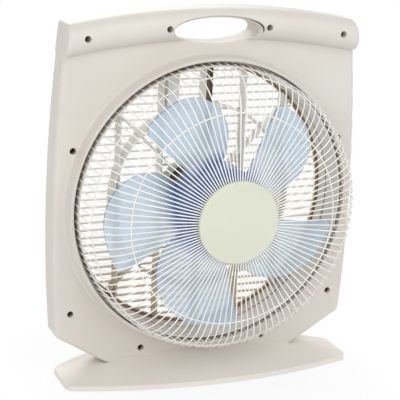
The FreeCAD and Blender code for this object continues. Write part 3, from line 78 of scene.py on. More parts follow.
def camera_matrix(place, yaw, pitch, roll):
    """The camera's axes and place: turned right by yaw, down by pitch, then rolled."""
    ahead = Vector((math.sin(yaw) * math.cos(pitch), math.cos(yaw) * math.cos(pitch), -math.sin(pitch)))
    level = Vector((math.cos(yaw), -math.sin(yaw), 0.0))
    upward = level.cross(ahead)
    right = level * math.cos(roll) + upward * math.sin(roll)
    top = upward * math.cos(roll) - level * math.sin(roll)
    turn = Matrix((right, top, -ahead)).transposed()
    return Matrix.Translation(place) @ turn.to_4x4()


camera_data = bpy.data.cameras.new("photo_camera")
camera_data.lens = CAMERA_LENS
camera_data.sensor_width = CAMERA_SENSOR
camera_data.clip_end = CAMERA_FAR
camera = add_to_scene("photo_camera", camera_data)
camera.matrix_world = camera_matrix(CAMERA_PLACE, CAMERA_YAW, CAMERA_PITCH, CAMERA_ROLL)
bpy.context.scene.camera = camera
bpy.context.scene.view_settings.view_transform = "Standard"
print("camera at", tuple(round(value, 3) for value in CAMERA_PLACE))

# %% [markdown]
# ## Building materials from nodes
# Every finish below is a small node tree. It could be clicked together in the shader editor; in a
# script a few helpers keep it short. One makes a node and sets its inputs, one starts a material
# with a Principled shader, and two add what nearly every finish has: noise and a fine relief.
# Coordinates are the object's own, in metres, so a grain of half a millimetre has a scale of
# about 2000.

# %% Nodes, noise and relief


def new_node(tree, kind, **inputs):
    """A node with some inputs set; an underscore in an input's name stands for a space."""
    node = tree.nodes.new(kind)
    for name, value in inputs.items():
        node.inputs[name.replace("_", " ")].default_value = value
    return node


def new_material(name):
    """A material with a plain Principled shader, and its tree, shader and coordinates."""
    material = bpy.data.materials.new(name)
    material.use_nodes = True
    tree = material.node_tree
    shader = tree.nodes["Principled BSDF"]
    place = tree.nodes.new("ShaderNodeTexCoord").outputs["Object"]
    return material, tree, shader, place


def noise(tree, place, scale, detail=2.0):
    """Cloudy values round 0.5."""
    node = new_node(tree, "ShaderNodeTexNoise", Scale=scale, Detail=detail)
    tree.links.new(place, node.inputs["Vector"])
    return node.outputs["Fac"]


def relief(tree, shader, height, depth, strength=1.0):
    """Bump of a given depth in metres."""
    bump = new_node(tree, "ShaderNodeBump", Strength=strength, Distance=depth)
    tree.links.new(height, bump.inputs["Height"])
    tree.links.new(bump.outputs["Normal"], shader.inputs["Normal"])


print("node helpers ready")

# %% [markdown]
# ## Colours
# Colours are easiest to read off a picture as screen values of 0 to 255. Shaders work in linear
# light, so each value goes through the screen's own curve first. Two colours are then mixed
# softly by a texture, or switched by a factor of 0 or 1.

# %% Colours
SCREEN_MAX = 255
CURVE_START = 10  # up to this value the screen's curve is a straight line
STRAIGHT_SLOPE = 12.92
CURVE_OFFSET = 0.055
CURVE_POWER = 2.4


def to_linear(value):
    """A screen value of 0 to 255 in linear light."""
    share = value / SCREEN_MAX
    if value <= CURVE_START:
        return share / STRAIGHT_SLOPE
    return ((share + CURVE_OFFSET) / (1 + CURVE_OFFSET)) ** CURVE_POWER


def colour(red, green, blue):
    """An opaque colour from three screen values."""
    return (to_linear(red), to_linear(green), to_linear(blue), 1.0)


def blend_colours(tree, factor, low, high, start=0.35, end=0.65):
    """Two fixed colours mixed by a texture between start and end."""
    ramp = tree.nodes.new("ShaderNodeValToRGB")
    ramp.color_ramp.elements[0].position = start
    ramp.color_ramp.elements[0].color = low
    ramp.color_ramp.elements[1].position = end
    ramp.color_ramp.elements[1].color = high
    tree.links.new(factor, ramp.inputs["Fac"])
    return ramp.outputs["Color"]


def mix_colours(tree, factor, low, high):
    """One colour where the factor is 0, another where it is 1; each is fixed or comes from a node."""
    mix = tree.nodes.new("ShaderNodeMixRGB")
    tree.links.new(factor, mix.inputs["Fac"])
    for name, value in (("Color1", low), ("Color2", high)):
        if isinstance(value, tuple):
            mix.inputs[name].default_value = value
        else:
            tree.links.new(value, mix.inputs[name])
    return mix.outputs["Color"]


print("half of the screen's range in linear light:", round(to_linear(128), 3))

# %% [markdown]
# ## Where a mark lies
# Much of the fan is round, so many marks lie at a certain distance from its axis. One helper
# measures that distance and another turns it into a step from 0 to 1. Masks could be painted by
# hand, but a step at a measured place stays sharp from near and far.

# %% Distances and steps
AXIS_Z = 0.228


def spread(tree, factor, low, high):
    """A texture's 0 to 1 brought between two values."""
    node = new_node(tree, "ShaderNodeMapRange", To_Min=low, To_Max=high)
    tree.links.new(factor, node.inputs["Value"])
    return node.outputs["Result"]


def step_at(tree, value, start, end):
    """0 at start, 1 at end and beyond, and a slope between; start may be the larger one."""
    node = new_node(tree, "ShaderNodeMapRange", From_Min=start, From_Max=end)
    tree.links.new(value, node.inputs["Value"])
    return node.outputs["Result"]


def split_axes(tree, vector):
    """X, Y and Z of a vector, as outputs with those names."""
    axes = tree.nodes.new("ShaderNodeSeparateXYZ")
    tree.links.new(vector, axes.inputs["Vector"])
    return axes.outputs


def length_of(tree, vector):
    """Length of a vector."""
    length = tree.nodes.new("ShaderNodeVectorMath")
    length.operation = "LENGTH"
    tree.links.new(vector, length.inputs[0])
    return length.outputs["Value"]


def from_axis(tree, place):
    """Distance to the fan's axis, which runs along Y."""
    flat = tree.nodes.new("ShaderNodeVectorMath")
    flat.operation = "MULTIPLY_ADD"
    flat.inputs[1].default_value = (1.0, 0.0, 1.0)
    flat.inputs[2].default_value = (0.0, 0.0, -AXIS_Z)
    tree.links.new(place, flat.inputs[0])
    return length_of(tree, flat.outputs["Vector"])


def largest(tree, values):
    """The largest of several values, so that one 1 among them is enough."""
    total = values[0]
    for value in values[1:]:
        node = tree.nodes.new("ShaderNodeMath")
        node.operation = "MAXIMUM"
        tree.links.new(total, node.inputs[0])
        tree.links.new(value, node.inputs[1])
        total = node.outputs["Value"]
    return total


print("the fan's axis runs at a height of", AXIS_Z)

# %% [markdown]
# ## Painted light and shade
# Light and shade are painted into some colours here. An ambient occlusion node finds deep holes
# and narrow gaps by itself and paints them a darker brown: painted shade in the screw wells and the
# guard's groove. Distances find the rest: brown painted shade in a ring where the grille meets the
# duct, beige painted shade on the lower slats, and painted light that makes the duct's wall paler
# than the outside. Each function takes a tint and gives it back with its marks on it.

# %% Painted light and shade
# A pair below is the start and the end of a step.
# Painted shade: the brown that the ambient occlusion node paints into recesses.
RECESS_SHADE = colour(152, 124, 98)
SHADE_REACH = 0.008
SHADE_SAMPLES = 8
FAINT_SHADE = (0.04, 0.24)
DEEP_SHADE = (0.32, 0.48)
COLLAR_BORE = (0.1885, 0.1895)
# Painted light: the wall inside the duct is made paler than the outside.
DUCT_PAINTED_LIGHT = colour(244, 240, 233)
DUCT_WALL = (0.1799, 0.1803)
# Painted shade: beige on the lower slats, below a height and inside the flange's edge.
LOWER_SLAT_SHADE = colour(204, 192, 172)
SLAT_SHADE_HEIGHT = (0.09, 0.25)
FLANGE_EDGE = (0.1735, 0.1745)
# Painted shade: a brown ring on the grille where it meets the duct.
RING_SHADE = colour(170, 140, 110)
RING_INNER = (0.1752, 0.1742)
RING_OUTER = (0.1795, 0.1805)
RING_BACK = (0.0435, 0.0445)


def recess_painted_shade(tree, tint, fade):
    """Painted shade in brown where little of the space within reach is open, fading out as more of it
    is.
    """
    recess = new_node(tree, "ShaderNodeAmbientOcclusion", Distance=SHADE_REACH)
    recess.samples = SHADE_SAMPLES
    return mix_colours(tree, step_at(tree, recess.outputs["AO"], *fade), RECESS_SHADE, tint)


def base_painted_shade(tree, tint, place):
    """Painted shade in the screw holes under the base."""
    return recess_painted_shade(tree, tint, FAINT_SHADE)


def shell_painted_light_and_shade(tree, tint, place):
    """Painted light that pales the wall inside the duct, a little painted shade in the guard's groove
    and more in the screw wells.
    """
    reach = from_axis(tree, place)
    tint = mix_colours(tree, step_at(tree, reach, *DUCT_WALL), DUCT_PAINTED_LIGHT, tint)
    groove = recess_painted_shade(tree, tint, FAINT_SHADE)
    wells = recess_painted_shade(tree, tint, DEEP_SHADE)
    return mix_colours(tree, step_at(tree, reach, *COLLAR_BORE), groove, wells)


def grille_painted_shade(tree, tint, place):
    """Beige painted shade on the lower slats, and a ring of brown painted shade where the grille meets
    the duct.
    """
    axes = split_axes(tree, place)
    reach = from_axis(tree, place)
    above = step_at(tree, axes["Z"], *SLAT_SHADE_HEIGHT)
    flange = step_at(tree, reach, *FLANGE_EDGE)
    tint = mix_colours(tree, largest(tree, (above, flange)), LOWER_SLAT_SHADE, tint)
    inner = step_at(tree, reach, *RING_INNER)
    outer = step_at(tree, reach, *RING_OUTER)
    behind = step_at(tree, axes["Y"], *RING_BACK)
    return mix_colours(tree, largest(tree, (inner, outer, behind)), RING_SHADE, tint)


print("recesses are looked for within", SHADE_REACH, "m")

# %% [markdown]
# ## Satin moulded plastic
# The shells, the base and the grille are injection moulded in a warm white plastic. The mould
# is spark eroded, which leaves an even, very fine grain, and the colour varies a little where
# the plastic has yellowed. Light also soaks a few millimetres into the thin slats of the grille,
# which subsurface scattering shows. One function makes the family; each call gives it its own
# tint and, for some of them, its own painted light and shade.

# %% Moulded plastic
CLOUD_SCALE = 7.0
CLOUD_DETAIL = 3.0
SATIN_SWING = 0.06
PLASTIC_IOR = 1.46
SOAK_RADIUS = (1.0, 0.95, 0.9)
SOAK_DEPTH = 0.005


def moulded_plastic(name, fresh, aged, roughness=0.46, grain=1500.0, grain_depth=0.00004,
                    painted_light=None, soak=0.0):
    """Plastic with a mould's grain; an optional function paints light and shade into the tint, soak is a
    share of light.
    """
    material, tree, shader, place = new_material(name)
    tint = blend_colours(tree, noise(tree, place, CLOUD_SCALE, CLOUD_DETAIL), aged, fresh)
    # light and shade painted into the tint, where a function for it is given
    if painted_light:
        tint = painted_light(tree, tint, place)
    tree.links.new(tint, shader.inputs["Base Color"])
    fine = noise(tree, place, grain)
    satin = spread(tree, fine, roughness - SATIN_SWING, roughness + SATIN_SWING)
    tree.links.new(satin, shader.inputs["Roughness"])
    relief(tree, shader, fine, grain_depth)
    shader.inputs["IOR"].default_value = PLASTIC_IOR
    shader.inputs["Subsurface Weight"].default_value = soak
    shader.inputs["Subsurface Radius"].default_value = SOAK_RADIUS
    shader.inputs["Subsurface Scale"].default_value = SOAK_DEPTH
    return material


shell_plastic = moulded_plastic("shell_plastic", colour(219, 217, 209), colour(217, 209, 201),
                                painted_light=shell_painted_light_and_shade)
base_plastic = moulded_plastic("base_plastic", colour(233, 228, 220), colour(230, 223, 215),
                               painted_light=base_painted_shade)
# Painted light: the grille's plastic is made lighter than the shell's, against the shade inside the
# duct.
grille_plastic = moulded_plastic("grille_plastic", colour(248, 246, 239), colour(244, 241, 232),
                                 roughness=0.5, painted_light=grille_painted_shade, soak=0.8)
knob_plastic = moulded_plastic("knob_plastic", colour(214, 209, 200), colour(208, 202, 192),
                               roughness=0.35)
print("moulded plastics:", shell_plastic.name, base_plastic.name, grille_plastic.name, knob_plastic.name)

# %% [markdown]
# ## Tinted blades
# The impeller is moulded in a clear plastic with a little blue in it, so the blades are pale
# where light comes through them and dark where the motor stands behind. A share of transmission
# on a smooth shader does that by itself; a broad noise keeps the tint from looking painted. The
# plastic grows thicker towards the hub, so the tint deepens towards the fan's axis. The narrow
# edges of a blade look darker, because there the light has come a long way through the plastic;
# that shade is painted into the colour. The edges are found by their normal, which points away
# from the axis. The hub's side does so too, and is left out by its radius.

# %% Blade plastic
BLADE_ROOT = (0.055, 0.074)
BLADE_FACE = (0.55, 0.75)
HUB_SIDE = (0.062, 0.058)
# Painted shade on the narrow edges of the blades.
EDGE_SHADE_BLUE = colour(84, 106, 146)
TINT_SCALE = 14.0
FLOW_SCALE = 60.0
FLOW_ROUGHNESS = (0.14, 0.24)
FLOW_DEPTH = 0.00002
FLOW_STRENGTH = 0.2
BLADE_IOR = 1.35
BLADE_CLEARNESS = 0.54


def facing_axis(tree):
    """1 where a surface looks along the fan's axis, 0 where it looks away from it."""
    normal = tree.nodes.new("ShaderNodeNewGeometry").outputs["True Normal"]
    size = tree.nodes.new("ShaderNodeMath")
    size.operation = "ABSOLUTE"
    tree.links.new(split_axes(tree, normal)["Y"], size.inputs[0])
    return size.outputs["Value"]


def tinted_plastic(name, pale, deep, thick):
    """Clear plastic between two tints, with a third one near the hub and painted shade on the edges."""
    material, tree, shader, place = new_material(name)
    reach = from_axis(tree, place)
    clear = blend_colours(tree, noise(tree, place, TINT_SCALE), deep, pale)
    tint = mix_colours(tree, step_at(tree, reach, *BLADE_ROOT), thick, clear)
    face = step_at(tree, facing_axis(tree), *BLADE_FACE)
    hub = step_at(tree, reach, *HUB_SIDE)
    tint = mix_colours(tree, largest(tree, (face, hub)), EDGE_SHADE_BLUE, tint)
    tree.links.new(tint, shader.inputs["Base Color"])
    flow = noise(tree, place, FLOW_SCALE)
    tree.links.new(spread(tree, flow, *FLOW_ROUGHNESS), shader.inputs["Roughness"])
    relief(tree, shader, flow, FLOW_DEPTH, FLOW_STRENGTH)
    shader.inputs["IOR"].default_value = BLADE_IOR
    shader.inputs["Transmission Weight"].default_value = BLADE_CLEARNESS
    return material


blade_plastic = tinted_plastic("blade_plastic", colour(228, 242, 254), colour(220, 237, 252),
                               colour(90, 140, 216))
print("tinted plastic:", blade_plastic.name)

# %% [markdown]
# ## Coated wire and enamel
# The guard is steel wire with a thick white coat, which shows as a soft orange-peel surface, and
# the motor is enamelled black. Both are a paint over metal, so neither needs a metallic shader:
# one function makes them. The rim of the guard stands in the collar's gap, and its outer edge is
# painted dark brown, a painted shade.

# %% Coats
COAT_CLOUDS = 30.0
COAT_SWING = 0.05
PEEL_DETAIL = 1.0
PEEL_DEPTH = 0.00005
PEEL_STRENGTH = 0.4
WIRE_PEEL = 900.0
ENAMEL_PEEL = 500.0
# Painted shade: the dark brown of the rim's outer edge in the collar's gap.
RIM_SHADE = colour(96, 80, 66)
RIM_EDGE = (0.1864, 0.1854)


def rim_painted_shade(tree, tint, place):
    """Painted shade in dark brown on the outer edge of the rim."""
    return mix_colours(tree, step_at(tree, from_axis(tree, place), *RIM_EDGE), RIM_SHADE, tint)


def coated_metal(name, coat, shade, roughness, peel, painted_light=None):
    """A coat of paint with orange peel of a given scale; an optional function paints shade into the
    tint.
    """
    material, tree, shader, place = new_material(name)
    tint = blend_colours(tree, noise(tree, place, COAT_CLOUDS), shade, coat)
    # shade painted into the tint, where a function for it is given
    if painted_light:
        tint = painted_light(tree, tint, place)
    tree.links.new(tint, shader.inputs["Base Color"])
    skin = noise(tree, place, peel, PEEL_DETAIL)
    gloss = spread(tree, skin, roughness - COAT_SWING, roughness + COAT_SWING)
    tree.links.new(gloss, shader.inputs["Roughness"])
    relief(tree, shader, skin, PEEL_DEPTH, PEEL_STRENGTH)
    return material


guard_coat = coated_metal("guard_coat", colour(248, 246, 240), colour(243, 240, 233),
                          roughness=0.34, peel=WIRE_PEEL)
rim_coat = coated_metal("rim_coat", colour(236, 233, 226), colour(228, 224, 215),
                        roughness=0.45, peel=WIRE_PEEL, painted_light=rim_painted_shade)
motor_enamel = coated_metal("motor_enamel", colour(38, 36, 36), colour(28, 27, 27),
                            roughness=0.4, peel=ENAMEL_PEEL)
print("coats:", guard_coat.name, rim_coat.name, motor_enamel.name)

# %% [markdown]
# ## Bare metals
# The bushes, the shaft and the screws are plain metals with faint scratches: a noise drawn out
# along the fan's axis. The stator is a stack of thin sheets and the windings are fine wire. Each
# sheet and each turn could be modelled, but they are finer than a pixel, so a wave texture draws
# their lines.

# %% Metals
SCRATCH_STRETCH = (400.0, 40.0, 400.0)
SCRATCH_SCALE = 3.0
SCRATCH_DETAIL = 4.0
SCRATCH_SWING = 0.08
SCRATCH_DEPTH = 0.00003
SCRATCH_STRENGTH = 0.5
WAVE_LENGTH = math.pi / 10  # of Blender's wave texture at a scale of 1
LINE_WAVER = 0.4
LINE_RAMP = (0.1, 0.7)
LINE_SWING = 0.12
LINE_DEPTH = 1 / 4  # of the distance between two lines


def bare_metal(name, bright, dull, roughness):
    """Plain metal with faint scratches."""
    material, tree, shader, place = new_material(name)
    shader.inputs["Metallic"].default_value = 1.0
    mapping = new_node(tree, "ShaderNodeMapping", Scale=SCRATCH_STRETCH)
    tree.links.new(place, mapping.inputs["Vector"])
    lines = noise(tree, mapping.outputs["Vector"], SCRATCH_SCALE, SCRATCH_DETAIL)
    tree.links.new(blend_colours(tree, lines, dull, bright), shader.inputs["Base Color"])
    gloss = spread(tree, lines, roughness - SCRATCH_SWING, roughness + SCRATCH_SWING)
    tree.links.new(gloss, shader.inputs["Roughness"])
    relief(tree, shader, lines, SCRATCH_DEPTH, SCRATCH_STRENGTH)
    return material


def lined_metal(name, bright, dull, roughness, direction, pitch):
    """Metal with fine lines across a direction, as on stacked sheets or wound wire."""
    material, tree, shader, place = new_material(name)
    shader.inputs["Metallic"].default_value = 1.0
    wave = new_node(tree, "ShaderNodeTexWave", Scale=WAVE_LENGTH / pitch, Distortion=LINE_WAVER)
    wave.bands_direction = direction
    tree.links.new(place, wave.inputs["Vector"])
    lines = wave.outputs["Fac"]
    tree.links.new(blend_colours(tree, lines, dull, bright, *LINE_RAMP), shader.inputs["Base Color"])
    tree.links.new(spread(tree, lines, roughness + LINE_SWING, roughness), shader.inputs["Roughness"])
    relief(tree, shader, lines, pitch * LINE_DEPTH)
    return material


screw_steel = bare_metal("screw_steel", colour(168, 150, 126), colour(122, 106, 88), roughness=0.42)
shaft_steel = bare_metal("shaft_steel", colour(190, 190, 192), colour(150, 150, 154), roughness=0.24)
rotor_metal = bare_metal("rotor_metal", colour(186, 186, 188), colour(150, 150, 152), roughness=0.4)
bush_bronze = bare_metal("bush_bronze", colour(190, 150, 96), colour(150, 112, 66), roughness=0.42)
stator_steel = lined_metal("stator_steel", colour(150, 150, 152), colour(70, 68, 68),
                           roughness=0.36, direction="Y", pitch=0.0006)
winding_copper = lined_metal("winding_copper", colour(190, 112, 66), colour(96, 48, 26),
                             roughness=0.34, direction="Z", pitch=0.0009)
print("metals:", screw_steel.name, shaft_steel.name, rotor_metal.name, bush_bronze.name)
print("lined metals:", stator_steel.name, winding_copper.name)

# %% [markdown]
# ## Small plastics and rubber
# Black thermoset for the electrical pieces, a brown plastic for the sheath of the lead, and soft
# rubber under the base. The disc in the middle of the guard is a smoother plastic than the shell,
# a shade towards green. The plastics come from the family above; rubber is rougher and greyer
# where it is worn.

# %% Rubber, small plastics and the disc
WEAR_SCALE = 160.0
WEAR_DETAIL = 4.0
WEAR_RAMP = (0.4, 0.8)
RUBBER_ROUGHNESS = (0.7, 0.9)
WEAR_DEPTH = 0.0001


def soft_rubber(name, fresh, worn):
    """Dull rubber with worn places."""
    material, tree, shader, place = new_material(name)
    wear = noise(tree, place, WEAR_SCALE, WEAR_DETAIL)
    tree.links.new(blend_colours(tree, wear, fresh, worn, *WEAR_RAMP), shader.inputs["Base Color"])
    tree.links.new(spread(tree, wear, *RUBBER_ROUGHNESS), shader.inputs["Roughness"])
    relief(tree, shader, wear, WEAR_DEPTH)
    return material


pad_rubber = soft_rubber("pad_rubber", colour(34, 34, 34), colour(58, 56, 54))
inner_plastic = moulded_plastic("inner_plastic", colour(44, 42, 42), colour(34, 33, 33), roughness=0.5)
sheath_plastic = moulded_plastic("sheath_plastic", colour(146, 127, 110), colour(124, 107, 92),
                                 roughness=0.5)
disc_plastic = moulded_plastic("disc_plastic", colour(220, 223, 206), colour(216, 219, 201),
                               roughness=0.36, grain=1100.0, grain_depth=0.00002)
print("small finishes:", pad_rubber.name, inner_plastic.name, sheath_plastic.name, disc_plastic.name)

# %% [markdown]
# ## A finish for every piece
# On the real fan each piece is of one material, so each mesh gets one slot. A table from finish
# to pieces shows at a glance what is made of what. The pieces inside the motor and the switch
# get their finish too, although the housing hides them.

# %% Finishes
PIECES_OF = {
    shell_plastic: ("front_shell", "rear_shell"),
    base_plastic: ("base_stand",),
    grille_plastic: ("rear_guard", "cable_cover"),
    knob_plastic: ("speed_knob",),
    disc_plastic: ("guard_disc",),
    guard_coat: ("guard_wires", "guard_inner_hoop", "guard_outer_hoop", "guard_back_plate"),
    rim_coat: ("guard_rim",),
    blade_plastic: ("impeller", "impeller_nut"),
    motor_enamel: ("motor_front_cover", "motor_rear_cover"),
    stator_steel: ("motor_stator",),
    winding_copper: ("motor_windings",),
    bush_bronze: ("motor_bearings",),
    rotor_metal: ("motor_rotor",),
    shaft_steel: ("motor_shaft", "drive_pin", "switch_spindle", "switch_nut"),
    screw_steel: ("motor_bolts", "motor_nuts", "guard_disc_screw", "shell_screws",
                  "rear_guard_screws", "base_screws"),
    pad_rubber: ("base_pads",),
    inner_plastic: ("speed_switch", "run_capacitor", "terminal_block", "cord_gland"),
}


def paint(piece, material):
    """One material for a whole piece."""
    piece.data.materials.clear()
    piece.data.materials.append(material)


for finish, node_names in PIECES_OF.items():
    for node_name in node_names:
        paint(nodes[node_name], finish)
print("finishes given to", sum(len(names) for names in PIECES_OF.values()), "of", len(nodes), "pieces")

# %% [markdown]
# ## The guard in round wire
# The CAD model draws each wire with a square section and a bend of three chords, which is
# enough for sizes and collision. Here the same path is a Blender curve: straight along the
# cone, round the shoulder, then down into the collar's groove. A bevel turns a curve into round
# wire, and one curve can hold all the wires as separate splines. The finished curve is turned
# into a mesh, because a curve's bounding box is padded by the radius of its points.

# %% Guard wires
PARTING_Y = 0.022
WIRE_COUNT = 108
WIRE_RADIUS = 0.00085
WIRE_ROUNDNESS = 2
WIRE_START = [(0.040, -0.1185), (0.054, -0.1185)]  # radius and depth, under the disc
WIRE_END = [(0.1824, -0.0440), (0.1833, -0.0400), (0.1834, -0.0240)]  # down into the groove
SHOULDER_CENTRE = (0.1331, -0.06005)
SHOULDER_RADIUS = 0.050
SHOULDER_START = math.radians(5.74)
SHOULDER_END = math.radians(73.2)
SHOULDER_STEPS = 14


def even_turns(count):
    """Angles of a number of even steps round a circle."""
    return [2 * math.pi * number / count for number in range(count)]


def wire_path():
    """Radius and depth of the wire's points, from under the disc to the groove."""
    shoulder = []
    for step in range(SHOULDER_STEPS + 1):
        angle = SHOULDER_START + (SHOULDER_END - SHOULDER_START) * step / SHOULDER_STEPS
        shoulder.append((SHOULDER_CENTRE[0] + SHOULDER_RADIUS * math.sin(angle),
                         SHOULDER_CENTRE[1] - SHOULDER_RADIUS * math.cos(angle)))
    return WIRE_START + shoulder + WIRE_END


def round_axis(radius, depth, angle):
    """A point at a radius and depth, turned round the fan's axis."""
    return Vector((radius * math.cos(angle), PARTING_Y + depth, AXIS_Z + radius * math.sin(angle)))


def round_wire(name, thickness, paths, closed, replaced):
    """Round wire along some paths, as one mesh in place of one of the frame's nodes."""
    data = bpy.data.curves.new(name, "CURVE")
    data.dimensions = "3D"
    data.bevel_depth = thickness
    data.bevel_resolution = WIRE_ROUNDNESS
    data.use_fill_caps = True
    for path in paths:
        spline = data.splines.new("POLY")
        spline.points.add(len(path) - 1)
        for point, place in zip(spline.points, path):
            point.co = (*place, 1.0)
        spline.use_cyclic_u = closed
        spline.use_smooth = True
    drawn = bpy.data.objects.new(name + "_drawn", data)
    mesh = bpy.data.meshes.new_from_object(drawn)
    bpy.data.objects.remove(drawn)
    piece = add_to_scene(name, mesh)
    paint(piece, guard_coat)
    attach(piece, "housing")
    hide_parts(replaced)
    return piece


wire_paths = [[round_axis(radius, depth, turn) for radius, depth in wire_path()]
              for turn in even_turns(WIRE_COUNT)]
wires = round_wire("round_wires", WIRE_RADIUS, wire_paths, False, "guard_wires")
print("guard wires:", len(wire_paths), "with", len(wires.data.polygons), "faces")

# %% [markdown]
# ## The hoops behind the wires
# Two hoops keep the wires apart: one at the edge of the flat part and one low on the shoulder. A
# torus would do as well, but a closed curve goes through the same function as the wires and gets
# the same round section and coat. Radius and depth are read from the CAD model's hoops.

# %% Guard hoops
HOOP_SEGMENTS = 180
HOOP_RADIUS = 0.0009

for hoop_name, replaced in (("inner_hoop", "guard_inner_hoop"), ("outer_hoop", "guard_outer_hoop")):
    low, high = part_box(replaced)
    depth = (low[1] + high[1]) / 2 - PARTING_Y
    reach = (high[0] - low[0]) / 2 - HOOP_RADIUS
    hoop_path = [round_axis(reach, depth, turn) for turn in even_turns(HOOP_SEGMENTS)]
    round_wire(hoop_name, HOOP_RADIUS, [hoop_path], True, replaced)
    print(hoop_name, "radius", round(reach, 4), "depth", round(depth, 4))

# %% [markdown]
# ## The dark sheath beside the middle rib
# Through the guard a dark strip shows just right of the grille's middle rib. It was taken as the
# sheath of a lead that comes down from the top of the duct to the motor: a shallow channel, open
# to the front. Its outline is drawn once as a flat face, which is then extruded upwards, and a
# small bevel rounds the long edges. It lies on the front of the slats.

# %% Lead sheath
SHEATH_SIDES = (0.0061, 0.0143)
SHEATH_FOOT = 0.292
SHEATH_HEAD = 0.4055
SHEATH_LENGTH = SHEATH_HEAD - SHEATH_FOOT
SHEATH_BACK = 0.0429
SHEATH_DEPTH = 0.0048
SHEATH_WALL = 0.0012
SHEATH_BEVEL = 0.0004
BEVEL_SEGMENTS = 2


def channel_outline(left, right, back, depth, wall):
    """Corners of a U, seen from above, open to the front."""
    front = back - depth
    bottom = back - wall
    return [(left, back), (left, front), (left + wall, front), (left + wall, bottom),
            (right - wall, bottom), (right - wall, front), (right, front), (right, back)]


def finished_mesh(builder, name):
    """The mesh that a bmesh has built; the bmesh itself is freed."""
    mesh = bpy.data.meshes.new(name)
    builder.to_mesh(mesh)
    builder.free()
    return mesh


def is_upright(edge):
    """True for the long edges of the channel."""
    return abs(edge.verts[0].co.z - edge.verts[1].co.z) > SHEATH_WALL


outline = channel_outline(*SHEATH_SIDES, SHEATH_BACK, SHEATH_DEPTH, SHEATH_WALL)
channel = bmesh.new()
section = channel.faces.new([channel.verts.new((x, y, SHEATH_FOOT)) for x, y in outline])
grown = bmesh.ops.extrude_face_region(channel, geom=[section])["geom"]
raised = [item for item in grown if isinstance(item, bmesh.types.BMVert)]
bmesh.ops.translate(channel, verts=raised, vec=(0.0, 0.0, SHEATH_LENGTH))
long_edges = [edge for edge in channel.edges if is_upright(edge)]
bmesh.ops.bevel(channel, geom=long_edges, offset=SHEATH_BEVEL, segments=BEVEL_SEGMENTS, affect="EDGES")
bmesh.ops.recalc_face_normals(channel, faces=channel.faces)
sheath = add_to_scene("lead_sheath", finished_mesh(channel, "lead_sheath"))
paint(sheath, sheath_plastic)
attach(sheath, "housing")
print("lead sheath:", round(SHEATH_LENGTH, 4), "m long with", len(sheath.data.polygons), "faces")

# %% [markdown]
# ## Where the screws are
# The CAD model's screws are plain turned shapes, several to a node. Their places, lengths and
# radii are read from the CAD meshes, so that new ones sit exactly where the old ones did. Blender
# can separate loose parts too, but that would change the node, so here they are only counted and
# measured.

# %% Loose parts of a node


def loose_parts(piece):
    """Lowest and highest corner of each loose part of a mesh, found by walking along its edges."""
    neighbours = {vertex.index: [] for vertex in piece.data.vertices}
    for edge in piece.data.edges:
        first, second = edge.vertices
        neighbours[first].append(second)
        neighbours[second].append(first)
    parts = []
    waiting = set(neighbours)
    while waiting:
        found = {waiting.pop()}
        border = list(found)
        while border:
            for other in neighbours[border.pop()]:
                if other in waiting:
                    waiting.discard(other)
                    found.add(other)
                    border.append(other)
        corners = [piece.data.vertices[index].co for index in found]
        parts.append([Vector([pick(corner[axis] for corner in corners) for axis in range(3)])
                      for pick in (min, max)])
    return parts


print("screws in the front shell:", len(loose_parts(nodes["shell_screws"])))

# %% [markdown]
# ## One screw with a cross recess
# Up close a screw is known by its drive, so each one is made again: a pan head whose flat top has
# a cross cut out of it, with sloping walls down to a smaller cross. A boolean could cut the
# cross; rings and crosses that are bridged face by face give a cleaner mesh.

# %% One screw
# Widths are shares of the head's radius, depths of the head's height.
HEAD_SIDES = 28
HEAD_TOP = 0.86
HEAD_PROFILE = ((0.96, 0.2), (1.0, 0.5), (1.0, 1.0))
SHANK_WIDTH = 0.5
CROSS_ARM = 0.56
CROSS_HALF = 0.13
CROSS_DEPTH = 0.6
CROSS_FLOOR_ARM = 0.6  # of the upper cross
CROSS_FLOOR_HALF = 0.7


def ring_of(builder, radius, height):
    """Corners of a round ring."""
    return [builder.verts.new((radius * math.cos(turn), radius * math.sin(turn), height))
            for turn in even_turns(HEAD_SIDES)]


def cross_of(builder, reach, half, height):
    """Twelve corners of a cross, in order."""
    arm = [(reach, -half), (reach, half), (half, half)]
    corners = []
    for quarter in range(4):
        turn = Matrix.Rotation(quarter * math.pi / 2, 2)
        corners += [turn @ Vector(corner) for corner in arm]
    return [builder.verts.new((corner.x, corner.y, height)) for corner in corners]


def bridge(builder, upper, lower):
    """A band of faces between two loops with as many corners."""
    for n, corner in enumerate(upper):
        after = (n + 1) % len(upper)
        builder.faces.new((corner, lower[n], lower[after], upper[after]))


def add_screw(builder, head, head_height, length):
    """A pan head screw along +Z with the top of its head at the origin."""
    rim = ring_of(builder, head * HEAD_TOP, 0.0)
    rings = [rim]
    profile = [(head * width, -head_height * depth) for width, depth in HEAD_PROFILE]
    shank = head * SHANK_WIDTH
    for radius, height in profile + [(shank, -head_height), (shank, -length)]:
        rings.append(ring_of(builder, radius, height))
        bridge(builder, rings[-2], rings[-1])
    builder.faces.new(reversed(rings[-1]))
    arm = head * CROSS_ARM
    half = head * CROSS_HALF
    cross = cross_of(builder, arm, half, 0.0)
    cross_floor = cross_of(builder, arm * CROSS_FLOOR_ARM, half * CROSS_FLOOR_HALF,
                           -head_height * CROSS_DEPTH)
    bridge(builder, cross_floor, cross)
    builder.faces.new(cross_floor)
    edges = []
    for loop in (rim, cross):
        edges += [builder.edges.get((corner, loop[n - 1])) for n, corner in enumerate(loop)]
    bmesh.ops.triangle_fill(builder, use_beauty=True, edges=edges)
    return [corner for ring in rings for corner in ring] + cross + cross_floor


trial = bmesh.new()
print("corners of one screw:", len(add_screw(trial, head=1.0, head_height=1.0, length=4.0)))
trial.free()

